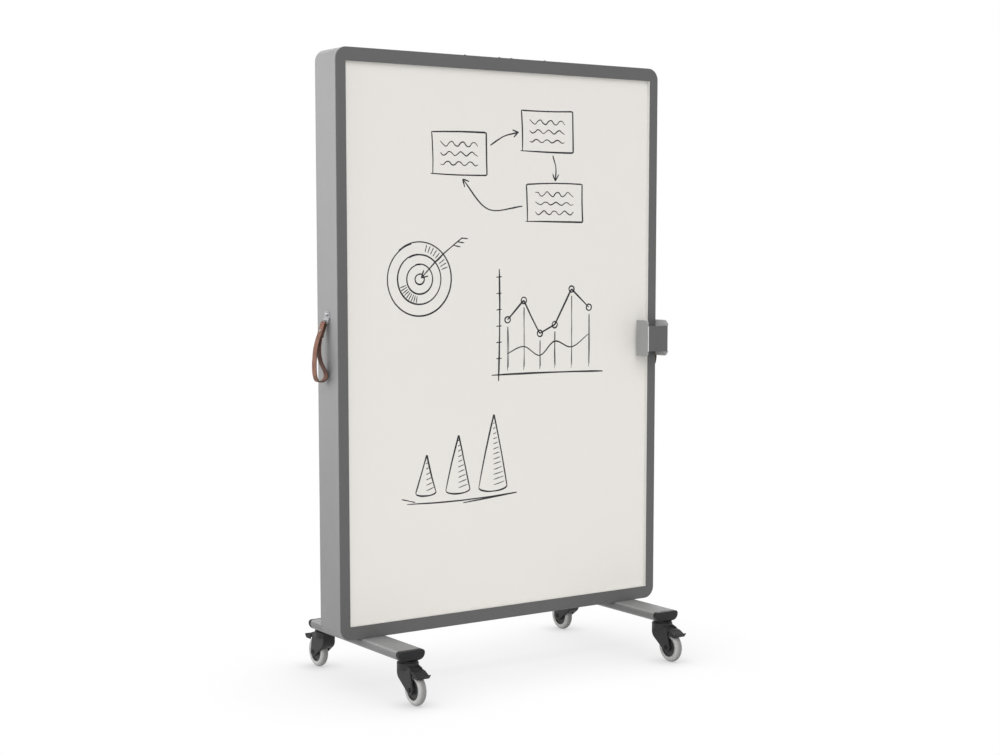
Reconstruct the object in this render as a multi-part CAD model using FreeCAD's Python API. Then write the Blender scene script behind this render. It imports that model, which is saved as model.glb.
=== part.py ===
"""Mobile whiteboard wall: a deep steel case with a writing surface on both faces.

The case stands on two flat foot beams, and each beam end carries a braked swivel
caster. A leather pull hangs on each side, and an open accessory holder is screwed
to the right edge. Millimetres, +Z up, the case's wide faces look along -Y and +Y.
The origin is on the floor below the middle of the case.
"""
import FreeCAD, Part
import math
import os

V = FreeCAD.Vector
X_AXIS = V(1, 0, 0)
Y_AXIS = V(0, 1, 0)
Z_AXIS = V(0, 0, 1)
HALF_TURN = 180
SIDES = {"left": -1, "right": 1}
ENDS = {"front": -1, "back": 1}

# Fits and overruns
FIT = 0.05
SEAT_FIT = 0.2
OVERRUN = 5.0

# Case
CASE_WIDTH = 1236.0
CASE_HEIGHT = 1800.0
CASE_DEPTH = 127.0
CASE_CORNER = 38.0
BAND_SHEET = 1.5

# Bezel frames, one on each face
BEZEL_SIDE_WIDTH = 35.0
BEZEL_END_WIDTH = 42.0
BEZEL_SHEET = 2.0
BEZEL_EDGE = 1.8
BEZEL_RETURN = 1.5
BEZEL_FLANGE_DEPTH = 14.0
BOARD_RECESS = 12.0
BOARD_INSET = 1.0

# Writing surfaces
SHEET_THICKNESS = 0.6
BACKING_THICKNESS = 6.0

# Inner frame tubes
TUBE_WIDTH = 40.0
TUBE_WALL = 2.0
BAY_SHARE = 1 / 3

# Bezel screws along the top edge
SCREW_HEAD_RADIUS = 3.5
SCREW_HEAD_HEIGHT = 2.2
SCREW_RADIUS = 1.5
SCREW_LENGTH = 6.0
SCREW_ROW_DEPTH = 7.5
SCREW_INNER_OFFSET = 23.0
SCREW_OUTER_OFFSET = 153.0

# Foot beams
FOOT_INSET = 121.0
FOOT_LENGTH = 536.0
FOOT_WIDTH = 94.0
FOOT_HEIGHT = 32.0
FOOT_TOP_RADIUS = 10.0
FOOT_WALL = 3.0

# End caps
CAP_THICKNESS = 16.0
CAP_EDGE = 2.5
CAP_SPIGOT = 50.0

# Foot bolts
BOLT_OFFSET = 28.0
BOLT_RADIUS = 4.0
BOLT_HEAD_RADIUS = 7.5
BOLT_HEAD_HEIGHT = 5.0
HEX_SHARES = ((1.0, 0.0), (0.5, 0.866), (-0.5, 0.866), (-1.0, 0.0), (-0.5, -0.866), (0.5, -0.866))
SPACER_RADIUS = 8.0
NUT_PLATE_THICKNESS = 6.0
NUT_PLATE_WIDTH = 60.0
NUT_PLATE_MARGIN = 14.0

# Casters
CASTER_HEIGHT = 132.0
CASTER_INSET = 8.0
CASTER_TRAIL = 43.0
WHEEL_RADIUS = 50.0
HUB_RADIUS = 33.0
TYRE_WIDTH = 27.0
TYRE_CROWN = 9.5
TYRE_SIDE_DRAW = 2.0
HUB_WIDTH = 23.0
HUB_RIM = 3.5
HUB_WEB = 17.0
HUB_BOSS_RADIUS = 11.0
AXLE_RADIUS = 4.0
AXLE_HEAD_RADIUS = 7.0
AXLE_HEAD_HEIGHT = 2.5
WHEEL_GAP = 3.0
WHEEL_SIDE_GAP = 2.0
THRUST_GAP = 0.3

# Swivel
STEM_RADIUS = 5.0
STEM_LENGTH = 22.0
STEM_FLANGE_RADIUS = 31.0
STEM_FLANGE = 6.0
KINGPIN_RADIUS = 6.0
KINGPIN_HEAD_RADIUS = 9.0
KINGPIN_HEAD_HEIGHT = 4.0
COLLAR_HEIGHT = 1.5
SWIVEL_GAP = 0.5
BEARING_RADIUS = 20.0
BEARING_HEIGHT = 12.0
BEARING_GROOVE = 2.0
LEDGE_RADIUS = 14.0

# Fork
DOME_RADIUS = 33.0
DOME_HEIGHT = 20.0
DOME_EDGE = 1.5
LEG_THICKNESS = 7.0
LEG_BACK = 30.0
LEG_SHOULDER_HEIGHT = 81.0
LEG_SHOULDER_RADIUS = 26.0
LEG_BOSS_RADIUS = 16.0
LEG_FRONT = 49.0
LEG_FRONT_HEIGHT = 97.0
LEG_TOP_DROP = 11.0
LEG_EDGE = 3.0

# Brake pedal
PEDAL_PIVOT_OUT = 40.5
PEDAL_PIVOT_HEIGHT = 109.5
PEDAL_HUB_RADIUS = 4.5
PEDAL_PIN_RADIUS = 2.5
PEDAL_PIN_REACH = 4.5
PEDAL_WIDTH = 44.0
PEDAL_ROOT = 51.0
PEDAL_SKIRT_BACK = 58.5
PEDAL_FRONT = 87.0
PEDAL_TIP = 96.0
PEDAL_TOP_HEIGHT = 111.0
PEDAL_SHOULDER = 64.0
PEDAL_SHOULDER_HEIGHT = 108.5
PEDAL_NOSE_HEIGHT = 97.0
PEDAL_TIP_HEIGHT = 102.0
PEDAL_SKIRT_HEIGHT = 89.0
PEDAL_WALL = 3.0
PEDAL_EDGE = 0.9

# Leather pulls
STRAP_WIDTH = 26.0
STRAP_THICKNESS = 3.6
STRAP_REACH = 48.5
STRAP_LENGTH = 180.0
STRAP_PIVOT_OUT = 12.0
STRAP_PIVOT_HEIGHT = 976.0
STRAP_NECK_SHARE = (0.49, -0.183)
STRAP_NECK_LAYERS = 3
STRAP_TAIL_SHARE = 1.28
STRAP_PARTING_SHARE = (0.65, -0.262)
STRAP_GRIP_SHARES = ((1.02, -0.4), (0.86, 0.05), (0.86, 0.95), (1.02, 1.46))
STRAP_LOOP_SHARES = (
    (0.763, -0.294), (0.897, -0.428), (0.969, -0.578), (1.0, -0.733), (0.959, -0.883), (0.825, -0.975),
    (0.598, -1.0), (0.289, -0.978), (0.113, -0.917), (0.134, -0.839), (0.299, -0.75), (0.464, -0.661),
    (0.557, -0.567), (0.598, -0.478), (0.588, -0.389), (0.536, -0.3))
RIVET_RADIUS = 5.0
RIVET_SHANK_RADIUS = 2.0
RIVET_HEAD_HEIGHT = 1.4
RIVET_SHARE = 0.72

# Hanger plates of the pulls
PLATE_THICKNESS = 2.0
PLATE_WIDTH = 34.0
PLATE_HEIGHT = 20.0
PLATE_BEND_HEIGHT = 17.0
PLATE_CORNER = 10.0
PLATE_BAR_RADIUS = 1.5
PLATE_SLOT_WIDTH = 28.0
PLATE_SLOT_HEIGHT = 10.0
STUD_HEIGHT = 27.0
STUD_RADIUS = 3.0
STUD_HEAD_RADIUS = 7.0
STUD_HEAD_HEIGHT = 7.0
STUD_HEAD_EDGE = 4.2
STUD_LENGTH = 14.0

# Accessory holder
HOLDER_SHEET = 2.0
HOLDER_WIDTH = 85.5
HOLDER_DEPTH = 64.0
HOLDER_BASE = 839.0
HOLDER_HEIGHT = 121.0
HOLDER_FRONT_BASE = 856.0
HOLDER_FRONT_HEIGHT = 85.0
HOLDER_CORNER = 18.0
HOLDER_BEND = 3.5
HOLDER_TAB = 20.0
HOLDER_SCREW_SPREAD = 60.0
HOLDER_SCREW_LENGTH = 8.0

# Heights and depths that follow from the sizes above
CASE_BASE = CASTER_HEIGHT + FOOT_HEIGHT
CASE_TOP = CASE_BASE + CASE_HEIGHT
HALF_WIDTH = CASE_WIDTH / 2
HALF_DEPTH = CASE_DEPTH / 2
FLANGE_INSET = BAND_SHEET + SEAT_FIT
BOARD_EDGE_INSET = FLANGE_INSET + BEZEL_RETURN + BOARD_INSET
BOARD_FACE = HALF_DEPTH - BOARD_RECESS
SHEET_BACK = BOARD_FACE - SHEET_THICKNESS
CORE_HALF = SHEET_BACK - BACKING_THICKNESS
RAIL_HALF = HALF_WIDTH - BAND_SHEET - TUBE_WIDTH
CENTRE_UPRIGHT_OFFSET = (RAIL_HALF - TUBE_WIDTH) * BAY_SHARE + TUBE_WIDTH / 2
SCREW_ROW = HALF_DEPTH - SCREW_ROW_DEPTH
FOOT_OFFSET = HALF_WIDTH - FOOT_INSET
FOOT_HALF_LENGTH = FOOT_LENGTH / 2
CASTER_OFFSET = FOOT_HALF_LENGTH - CASTER_INSET
FORK_TOP = CASTER_HEIGHT - STEM_FLANGE - SWIVEL_GAP
BEARING_TOP = CASTER_HEIGHT - STEM_FLANGE - COLLAR_HEIGHT
BEARING_BASE = BEARING_TOP - BEARING_HEIGHT
WHEEL_SPACE_HALF = TYRE_WIDTH / 2 + WHEEL_SIDE_GAP
FORK_HALF = WHEEL_SPACE_HALF + LEG_THICKNESS
STRAP_PIVOT_Z = CASE_BASE + STRAP_PIVOT_HEIGHT
NECK_HALF = STRAP_THICKNESS * STRAP_NECK_LAYERS / 2


def box(low, high):
    """Box between two corners."""
    return Part.makeBox(high[0] - low[0], high[1] - low[1], high[2] - low[2], V(*low))


def rod(radius, start, end):
    """Cylinder between two points."""
    a = V(*start)
    b = V(*end)
    return Part.makeCylinder(radius, (b - a).Length, a, b - a)


def lines_along(shape, axis):
    """Straight edges that run along an axis."""
    found = []
    for edge in shape.Edges:
        run = edge.lastVertex().Point - edge.firstVertex().Point
        if isinstance(edge.Curve, Part.Line) and run.cross(axis).Length < FIT:
            found.append(edge)
    return found


def edges_on_plane(shape, axis, level):
    """Edges that lie wholly at one level along an axis."""
    found = []
    for edge in shape.Edges:
        reach = edge.BoundBox
        low = V(reach.XMin, reach.YMin, reach.ZMin).dot(axis)
        high = V(reach.XMax, reach.YMax, reach.ZMax).dot(axis)
        if abs(low - level) < FIT and abs(high - level) < FIT:
            found.append(edge)
    return found


def case_slab(inset, y_low, y_high):
    """Slab with the case's rounded outline, drawn in by an inset on all sides."""
    low = (inset - HALF_WIDTH, y_low, CASE_BASE + inset)
    high = (HALF_WIDTH - inset, y_high, CASE_TOP - inset)
    slab = box(low, high)
    return slab.makeFillet(CASE_CORNER - inset, lines_along(slab, Y_AXIS))


def prism_yz(points, half_width):
    """Solid with an outline in the YZ plane, as wide on both sides of X zero."""
    wire = Part.makePolygon([V(-half_width, y, z) for y, z in points + [points[0]]])
    return Part.Face(wire).extrude(X_AXIS * half_width * len(SIDES))


def mirror_depth(shape):
    """The same piece on the other face of the case."""
    return shape.mirror(V(0, 0, 0), Y_AXIS)


def save(name, shape):
    """Write one sub-part, named after its file."""
    shape.exportStep(os.path.join("parts", name + ".step"))


# Case

def screw_places():
    """X places of the bezel screws along the top edge."""
    return [side * offset for side in SIDES.values() for offset in (SCREW_INNER_OFFSET, SCREW_OUTER_OFFSET)]


def bezel_screw_holes(radius):
    """Rods through the top edge where the front bezel's screws go."""
    rods = [rod(radius, (x, -SCREW_ROW, CASE_TOP - OVERRUN), (x, -SCREW_ROW, CASE_TOP + OVERRUN))
            for x in screw_places()]
    return Part.makeCompound(rods)


def holder_screw_heights():
    """Z places of the holder's two screws."""
    middle = CASE_BASE + HOLDER_BASE + HOLDER_HEIGHT / 2
    return [middle + side * HOLDER_SCREW_SPREAD / 2 for side in SIDES.values()]


def holder_screw_holes():
    """Rods through the right edge where the holder's screws go."""
    rods = [rod(SCREW_RADIUS + FIT, (HALF_WIDTH - OVERRUN, -SCREW_ROW, z),
                (HALF_WIDTH + OVERRUN, -SCREW_ROW, z))
            for z in holder_screw_heights()]
    return Part.makeCompound(rods)


def stud_height():
    """Z of the screws that hold the leather pulls."""
    return STRAP_PIVOT_Z + STUD_HEIGHT


def bolt_places():
    """X and Y of the bolts that hold the feet."""
    return [(side * FOOT_OFFSET, end * BOLT_OFFSET) for side in SIDES.values() for end in ENDS.values()]


def outer_band():
    """Sheet band that runs round all four edges, with rounded corners."""
    half = HALF_DEPTH - BEZEL_SHEET
    band = case_slab(0, -half, half).cut(case_slab(BAND_SHEET, -half - OVERRUN, half + OVERRUN))
    band = band.cut(bezel_screw_holes(SCREW_RADIUS + FIT))
    band = band.cut(mirror_depth(bezel_screw_holes(SCREW_RADIUS + FIT)))
    band = band.cut(holder_screw_holes())
    reach = HALF_WIDTH + OVERRUN
    band = band.cut(rod(STUD_RADIUS + FIT, (-reach, 0, stud_height()), (reach, 0, stud_height())))
    for x, y in bolt_places():
        band = band.cut(rod(BOLT_RADIUS + SEAT_FIT, (x, y, CASE_BASE - OVERRUN), (x, y, CASE_BASE + OVERRUN)))
    return band


def opening_slab(grow, y_low, y_high):
    """Sharp-cornered slab of the visible writing area, grown on all sides."""
    half = HALF_WIDTH - BEZEL_SIDE_WIDTH + grow
    low = (-half, y_low, CASE_BASE + BEZEL_END_WIDTH - grow)
    high = (half, y_high, CASE_TOP - BEZEL_END_WIDTH + grow)
    return box(low, high)


def front_bezel():
    """Pressed frame: flat ring, an inner return down to the board, a flange inside the band."""
    plate_back = BEZEL_SHEET - HALF_DEPTH
    plate = case_slab(0, -HALF_DEPTH, plate_back)
    plate = plate.makeFillet(BEZEL_EDGE, edges_on_plane(plate, Y_AXIS, -HALF_DEPTH))
    flange_end = plate_back + BEZEL_FLANGE_DEPTH
    flange = case_slab(FLANGE_INSET, plate_back, flange_end)
    flange = flange.cut(case_slab(FLANGE_INSET + BEZEL_RETURN, plate_back - OVERRUN, flange_end + OVERRUN))
    lip = opening_slab(BEZEL_RETURN, plate_back, -BOARD_FACE)
    frame = plate.fuse([flange, lip])
    frame = frame.cut(opening_slab(0, -HALF_DEPTH - OVERRUN, -BOARD_FACE + OVERRUN))
    return frame.cut([bezel_screw_holes(SCREW_RADIUS + FIT)])


def board_slab(y_low, y_high):
    """Layer of the writing board, inside the bezel's flange."""
    return case_slab(BOARD_EDGE_INSET, y_low, y_high)


def tube(low, high, axis):
    """Square-cornered tube between two corners, open at both ends of its axis."""
    grow = V(TUBE_WALL, TUBE_WALL, TUBE_WALL) - axis * (TUBE_WALL + OVERRUN)
    core = box(V(*low) + grow, V(*high) - grow)
    return box(low, high).cut(core)


def side_upright(side):
    """Tube against the band's side, between its rounded corners."""
    outer = HALF_WIDTH - BAND_SHEET
    xs = sorted((side * outer, side * (outer - TUBE_WIDTH)))
    post = tube((xs[0], -CORE_HALF, CASE_BASE + CASE_CORNER), (xs[1], CORE_HALF, CASE_TOP - CASE_CORNER),
                Z_AXIS)
    reach = side * (HALF_WIDTH - STUD_LENGTH)
    return post.cut(rod(STUD_RADIUS + FIT, (side * HALF_WIDTH, 0, stud_height()), (reach, 0, stud_height())))


def rail(z_low, z_high):
    """Tube between the side uprights, along the top or the bottom."""
    return tube((-RAIL_HALF, -CORE_HALF, z_low), (RAIL_HALF, CORE_HALF, z_high), X_AXIS)


def bottom_rail():
    """Rail that the foot bolts pull against."""
    base = CASE_BASE + BAND_SHEET
    shape = rail(base, base + TUBE_WIDTH)
    for x, y in bolt_places():
        shape = shape.cut(rod(BOLT_RADIUS + SEAT_FIT, (x, y, base - OVERRUN), (x, y, base + OVERRUN)))
    return shape


def centre_upright(side):
    """Inner tube between the rails, placed so that the frame has three equal bays."""
    middle = side * CENTRE_UPRIGHT_OFFSET
    inset = BAND_SHEET + TUBE_WIDTH
    low = (middle - TUBE_WIDTH / 2, -CORE_HALF, CASE_BASE + inset)
    return tube(low, (middle + TUBE_WIDTH / 2, CORE_HALF, CASE_TOP - inset), Z_AXIS)


def small_screw(length):
    """Button-head screw that points down, with its seat at zero."""
    head = rod(SCREW_HEAD_RADIUS, (0, 0, 0), (0, 0, SCREW_HEAD_HEIGHT))
    head = head.makeFillet(SCREW_HEAD_HEIGHT / 2, edges_on_plane(head, Z_AXIS, SCREW_HEAD_HEIGHT))
    return head.fuse(rod(SCREW_RADIUS, (0, 0, -length), (0, 0, SCREW_HEAD_HEIGHT / 2))).removeSplitter()


def bezel_screws():
    """Screws along the top edge of both bezels."""
    screws = []
    for y in (-SCREW_ROW, SCREW_ROW):
        for x in screw_places():
            screws.append(small_screw(SCREW_LENGTH).translated(V(x, y, CASE_TOP)))
    return Part.makeCompound(screws)


# Feet

def foot_profile(inset, y_low, y_high):
    """Foot section: flat top, tight upper corners and wide lower ones, drawn in by an inset."""
    half = FOOT_WIDTH / 2 - inset
    top = CASE_BASE - inset
    base = CASTER_HEIGHT + inset
    upper = FOOT_TOP_RADIUS - inset
    slab = box((-half, y_low, base), (half, y_high, top))
    slab = slab.makeFillet(upper, [e for e in lines_along(slab, Y_AXIS) if e.BoundBox.ZMin > top - FIT])
    lower = top - base - upper - FIT
    return slab.makeFillet(lower, [e for e in lines_along(slab, Y_AXIS) if e.BoundBox.ZMax < base + FIT])


def stem_hole(radius, base, top):
    """Rods where the two caster stems enter a foot."""
    rods = [rod(radius, (0, end * CASTER_OFFSET, base),
                (0, end * CASTER_OFFSET, top)) for end in ENDS.values()]
    return Part.makeCompound(rods)


def foot():
    """Hollow beam across the bottom of the case, centred on X zero."""
    beam = foot_profile(0, -FOOT_HALF_LENGTH, FOOT_HALF_LENGTH)
    reach = FOOT_HALF_LENGTH + OVERRUN
    beam = beam.cut(foot_profile(FOOT_WALL, -reach, reach))
    beam = beam.cut(stem_hole(STEM_RADIUS + SEAT_FIT, CASTER_HEIGHT - OVERRUN, CASTER_HEIGHT + OVERRUN))
    for end in ENDS.values():
        y = end * BOLT_OFFSET
        beam = beam.cut(rod(BOLT_RADIUS + SEAT_FIT, (0, y, CASTER_HEIGHT - OVERRUN),
                            (0, y, CASE_BASE + OVERRUN)))
    return beam


def end_cap():
    """Cap over the back end of a foot, with a spigot that the caster's stem screws into."""
    face = FOOT_HALF_LENGTH + CAP_THICKNESS
    cap = foot_profile(0, FOOT_HALF_LENGTH, face)
    cap = cap.makeFillet(CAP_EDGE, edges_on_plane(cap, Y_AXIS, face))
    spigot = foot_profile(FOOT_WALL + SEAT_FIT, FOOT_HALF_LENGTH - CAP_SPIGOT, FOOT_HALF_LENGTH)
    top = CASTER_HEIGHT + STEM_LENGTH + OVERRUN / 2
    return cap.fuse(spigot).cut(stem_hole(STEM_RADIUS + FIT, CASTER_HEIGHT - OVERRUN, top))


def hexagon(radius, x, y, z_low, z_high):
    """Six-sided bolt head with its corners on a radius."""
    points = [V(x + across * radius, y + along * radius, z_low) for across, along in HEX_SHARES]
    return Part.Face(Part.makePolygon(points + [points[0]])).extrude(Z_AXIS * (z_high - z_low))


def nut_plate_top():
    """Z of the top of the plates that the foot bolts screw into."""
    return CASE_BASE + BAND_SHEET + TUBE_WALL + NUT_PLATE_THICKNESS


def foot_bolts():
    """Bolts from under each foot up into the bottom rail."""
    bolts = []
    for x, y in bolt_places():
        head = hexagon(BOLT_HEAD_RADIUS, x, y, CASTER_HEIGHT - BOLT_HEAD_HEIGHT, CASTER_HEIGHT)
        shank = rod(BOLT_RADIUS, (x, y, CASTER_HEIGHT), (x, y, nut_plate_top() + OVERRUN / 2))
        bolts.append(head.fuse(shank))
    return Part.makeCompound(bolts)


def foot_spacers():
    """Sleeves inside the feet that keep the bolts from crushing them."""
    sleeves = []
    for x, y in bolt_places():
        base = CASTER_HEIGHT + FOOT_WALL
        top = CASE_BASE - FOOT_WALL
        sleeve = rod(SPACER_RADIUS, (x, y, base), (x, y, top))
        sleeves.append(sleeve.cut(rod(BOLT_RADIUS + SEAT_FIT, (x, y, base - OVERRUN), (x, y, top + OVERRUN))))
    return Part.makeCompound(sleeves)


def foot_nut_plates():
    """Threaded plates inside the bottom rail, one over each foot."""
    plates = []
    half = BOLT_OFFSET + NUT_PLATE_MARGIN / 2
    base = nut_plate_top() - NUT_PLATE_THICKNESS
    for side in SIDES.values():
        middle = side * FOOT_OFFSET
        plate = box((middle - NUT_PLATE_WIDTH / 2, -half, base),
                    (middle + NUT_PLATE_WIDTH / 2, half, nut_plate_top()))
        for y in (-BOLT_OFFSET, BOLT_OFFSET):
            plate = plate.cut(rod(BOLT_RADIUS + FIT, (middle, y, base - OVERRUN),
                                  (middle, y, nut_plate_top() + OVERRUN)))
        plates.append(plate)
    return Part.makeCompound(plates)


# Casters, each built on its own stem axis with the wheel trailing towards +Y

def caster_stem():
    """Threaded stem, flange and kingpin, as one turned piece."""
    flange_base = CASTER_HEIGHT - STEM_FLANGE
    head_base = BEARING_BASE - KINGPIN_HEAD_HEIGHT
    pieces = [
        rod(STEM_FLANGE_RADIUS, (0, 0, flange_base), (0, 0, CASTER_HEIGHT)),
        rod(KINGPIN_HEAD_RADIUS, (0, 0, BEARING_TOP), (0, 0, flange_base)),
        rod(KINGPIN_RADIUS, (0, 0, head_base), (0, 0, flange_base)),
        rod(KINGPIN_HEAD_RADIUS, (0, 0, head_base), (0, 0, BEARING_BASE))]
    stem = rod(STEM_RADIUS, (0, 0, CASTER_HEIGHT), (0, 0, CASTER_HEIGHT + STEM_LENGTH))
    return stem.fuse(pieces).removeSplitter()


def swivel_bearing():
    """Sealed ball bearing on the kingpin, with a groove between its rings."""
    ring = rod(BEARING_RADIUS, (0, 0, BEARING_BASE), (0, 0, BEARING_TOP))
    middle = (BEARING_RADIUS + KINGPIN_RADIUS) / 2
    for level in (BEARING_BASE, BEARING_TOP):
        groove = rod(middle + BEARING_GROOVE, (0, 0, level - FIT - SEAT_FIT), (0, 0, level + FIT + SEAT_FIT))
        inner = rod(middle - BEARING_GROOVE, (0, 0, level - OVERRUN), (0, 0, level + OVERRUN))
        ring = ring.cut(groove.cut(inner))
    return ring.cut(rod(KINGPIN_RADIUS + FIT, (0, 0, BEARING_BASE - OVERRUN), (0, 0, BEARING_TOP + OVERRUN)))


def boss_tangent(y, z, turn):
    """Point where a line from y, z touches the leg's round end, on the side given by turn."""
    run = V(0, y - CASTER_TRAIL, z - WHEEL_RADIUS)
    angle = math.atan2(run.z, run.y) + turn * math.acos(LEG_BOSS_RADIUS / run.Length)
    return V(0, CASTER_TRAIL + LEG_BOSS_RADIUS * math.cos(angle),
             WHEEL_RADIUS + LEG_BOSS_RADIUS * math.sin(angle))


def leg_blank():
    """Side shape of the fork over its full width, with its outer edges eased."""
    back_top = V(0, -LEG_BACK, FORK_TOP - DOME_EDGE)
    shoulder = V(0, -LEG_BACK, LEG_SHOULDER_HEIGHT)
    front = V(0, LEG_FRONT, LEG_FRONT_HEIGHT)
    front_top = V(0, LEG_FRONT, FORK_TOP - LEG_TOP_DROP)
    crown = V(0, DOME_RADIUS / 2, FORK_TOP - DOME_EDGE)
    low = boss_tangent(shoulder.y, shoulder.z, 1)
    high = boss_tangent(front.y, front.z, -1)
    bottom = V(0, CASTER_TRAIL, WHEEL_RADIUS - LEG_BOSS_RADIUS)
    edges = [
        Part.LineSegment(crown, back_top).toShape(),
        Part.LineSegment(back_top, shoulder).toShape(),
        Part.LineSegment(shoulder, low).toShape(),
        Part.Arc(low, bottom, high).toShape(),
        Part.LineSegment(high, front).toShape(),
        Part.LineSegment(front, front_top).toShape(),
        Part.LineSegment(front_top, crown).toShape()]
    blank = Part.Face(Part.Wire(edges)).extrude(X_AXIS * FORK_HALF * len(SIDES))
    blank.translate(X_AXIS * -FORK_HALF)
    bend = [e for e in lines_along(blank, X_AXIS)
            if abs(e.BoundBox.YMin - shoulder.y) < FIT and abs(e.BoundBox.ZMin - shoulder.z) < FIT]
    blank = blank.makeFillet(LEG_SHOULDER_RADIUS, bend)
    rims = edges_on_plane(blank, X_AXIS, FORK_HALF) + edges_on_plane(blank, X_AXIS, -FORK_HALF)
    return blank.makeFillet(LEG_EDGE, rims)


def wheel_space():
    """Room that the wheel needs between the legs."""
    reach = WHEEL_RADIUS + WHEEL_GAP
    hollow = rod(reach, (-WHEEL_SPACE_HALF, CASTER_TRAIL, WHEEL_RADIUS),
                 (WHEEL_SPACE_HALF, CASTER_TRAIL, WHEEL_RADIUS))
    ahead = box((-WHEEL_SPACE_HALF, CASTER_TRAIL, 0),
                (WHEEL_SPACE_HALF, CASTER_TRAIL + reach, WHEEL_RADIUS + reach))
    below = box((-WHEEL_SPACE_HALF, CASTER_TRAIL - reach, 0),
                (WHEEL_SPACE_HALF, CASTER_TRAIL + reach, WHEEL_RADIUS))
    return hollow.fuse([ahead, below])


def fork():
    """One-piece swivel housing: round dome, closed back and two legs beside the wheel."""
    dome = rod(DOME_RADIUS, (0, 0, FORK_TOP - DOME_HEIGHT), (0, 0, FORK_TOP))
    dome = dome.makeFillet(DOME_EDGE, edges_on_plane(dome, Z_AXIS, FORK_TOP))
    pocket_back = DOME_RADIUS + SEAT_FIT
    pocket = box((-WHEEL_SPACE_HALF, pocket_back, 0), (WHEEL_SPACE_HALF, LEG_FRONT + OVERRUN, FORK_TOP))
    body = leg_blank().cut([wheel_space(), pocket]).fuse(dome)
    seat = rod(BEARING_RADIUS + FIT, (0, 0, BEARING_BASE - FIT), (0, 0, FORK_TOP + OVERRUN))
    ledge = rod(LEDGE_RADIUS, (0, 0, WHEEL_RADIUS), (0, 0, FORK_TOP))
    reach = FORK_HALF + OVERRUN
    axle_hole = rod(AXLE_RADIUS + FIT, (-reach, CASTER_TRAIL, WHEEL_RADIUS),
                    (reach, CASTER_TRAIL, WHEEL_RADIUS))
    pin = WHEEL_SPACE_HALF + PEDAL_PIN_REACH + SEAT_FIT
    pin_hole = rod(PEDAL_PIN_RADIUS + FIT, (-pin, PEDAL_PIVOT_OUT, PEDAL_PIVOT_HEIGHT),
                   (pin, PEDAL_PIVOT_OUT, PEDAL_PIVOT_HEIGHT))
    return body.cut([seat, ledge, axle_hole, pin_hole]).removeSplitter()


def axle():
    """Wheel bolt with a low head outside each leg."""
    reach = FORK_HALF + AXLE_HEAD_HEIGHT
    shaft = rod(AXLE_RADIUS, (-reach, CASTER_TRAIL, WHEEL_RADIUS), (reach, CASTER_TRAIL, WHEEL_RADIUS))
    heads = []
    for side in SIDES.values():
        start = (side * FORK_HALF, CASTER_TRAIL, WHEEL_RADIUS)
        head = rod(AXLE_HEAD_RADIUS, start, (side * reach, CASTER_TRAIL, WHEEL_RADIUS))
        heads.append(head.makeFillet(AXLE_HEAD_HEIGHT / 2, edges_on_plane(head, X_AXIS, side * reach)))
    return shaft.fuse(heads).removeSplitter()


def turned_on_axle(points):
    """Solid of revolution about the wheel's axle from x, radius points."""
    wire = Part.makePolygon([V(x, CASTER_TRAIL, WHEEL_RADIUS + r) for x, r in points + [points[0]]])
    return Part.Face(wire).revolve(V(0, CASTER_TRAIL, WHEEL_RADIUS), X_AXIS, HALF_TURN * 2)


def wheel_hub():
    """Moulded wheel centre with a raised rim, a web and a bearing boss."""
    boss = WHEEL_SPACE_HALF - THRUST_GAP
    half = HUB_WIDTH / 2
    bore = AXLE_RADIUS + FIT
    rim = HUB_RADIUS - HUB_RIM
    web = HUB_WEB / 2
    right = [(boss, bore), (boss, HUB_BOSS_RADIUS), (web, HUB_BOSS_RADIUS), (web, rim), (half, rim),
             (half, HUB_RADIUS)]
    left = [(-x, r) for x, r in reversed(right)]
    return turned_on_axle(right + left)


def tyre():
    """Rubber tyre with a round tread, moulded on the hub."""
    half = TYRE_WIDTH / 2
    seat = half - TYRE_SIDE_DRAW
    side = WHEEL_RADIUS - TYRE_CROWN
    seat_radius = HUB_RADIUS + FIT

    def spot(x, r):
        return V(x, CASTER_TRAIL, WHEEL_RADIUS + r)

    edges = [
        Part.LineSegment(spot(-seat, seat_radius), spot(-half, side)).toShape(),
        Part.Arc(spot(-half, side), spot(0, WHEEL_RADIUS), spot(half, side)).toShape(),
        Part.LineSegment(spot(half, side), spot(seat, seat_radius)).toShape(),
        Part.LineSegment(spot(seat, seat_radius), spot(-seat, seat_radius)).toShape()]
    return Part.Face(Part.Wire(edges)).revolve(V(0, CASTER_TRAIL, WHEEL_RADIUS), X_AXIS, HALF_TURN * 2)


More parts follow.
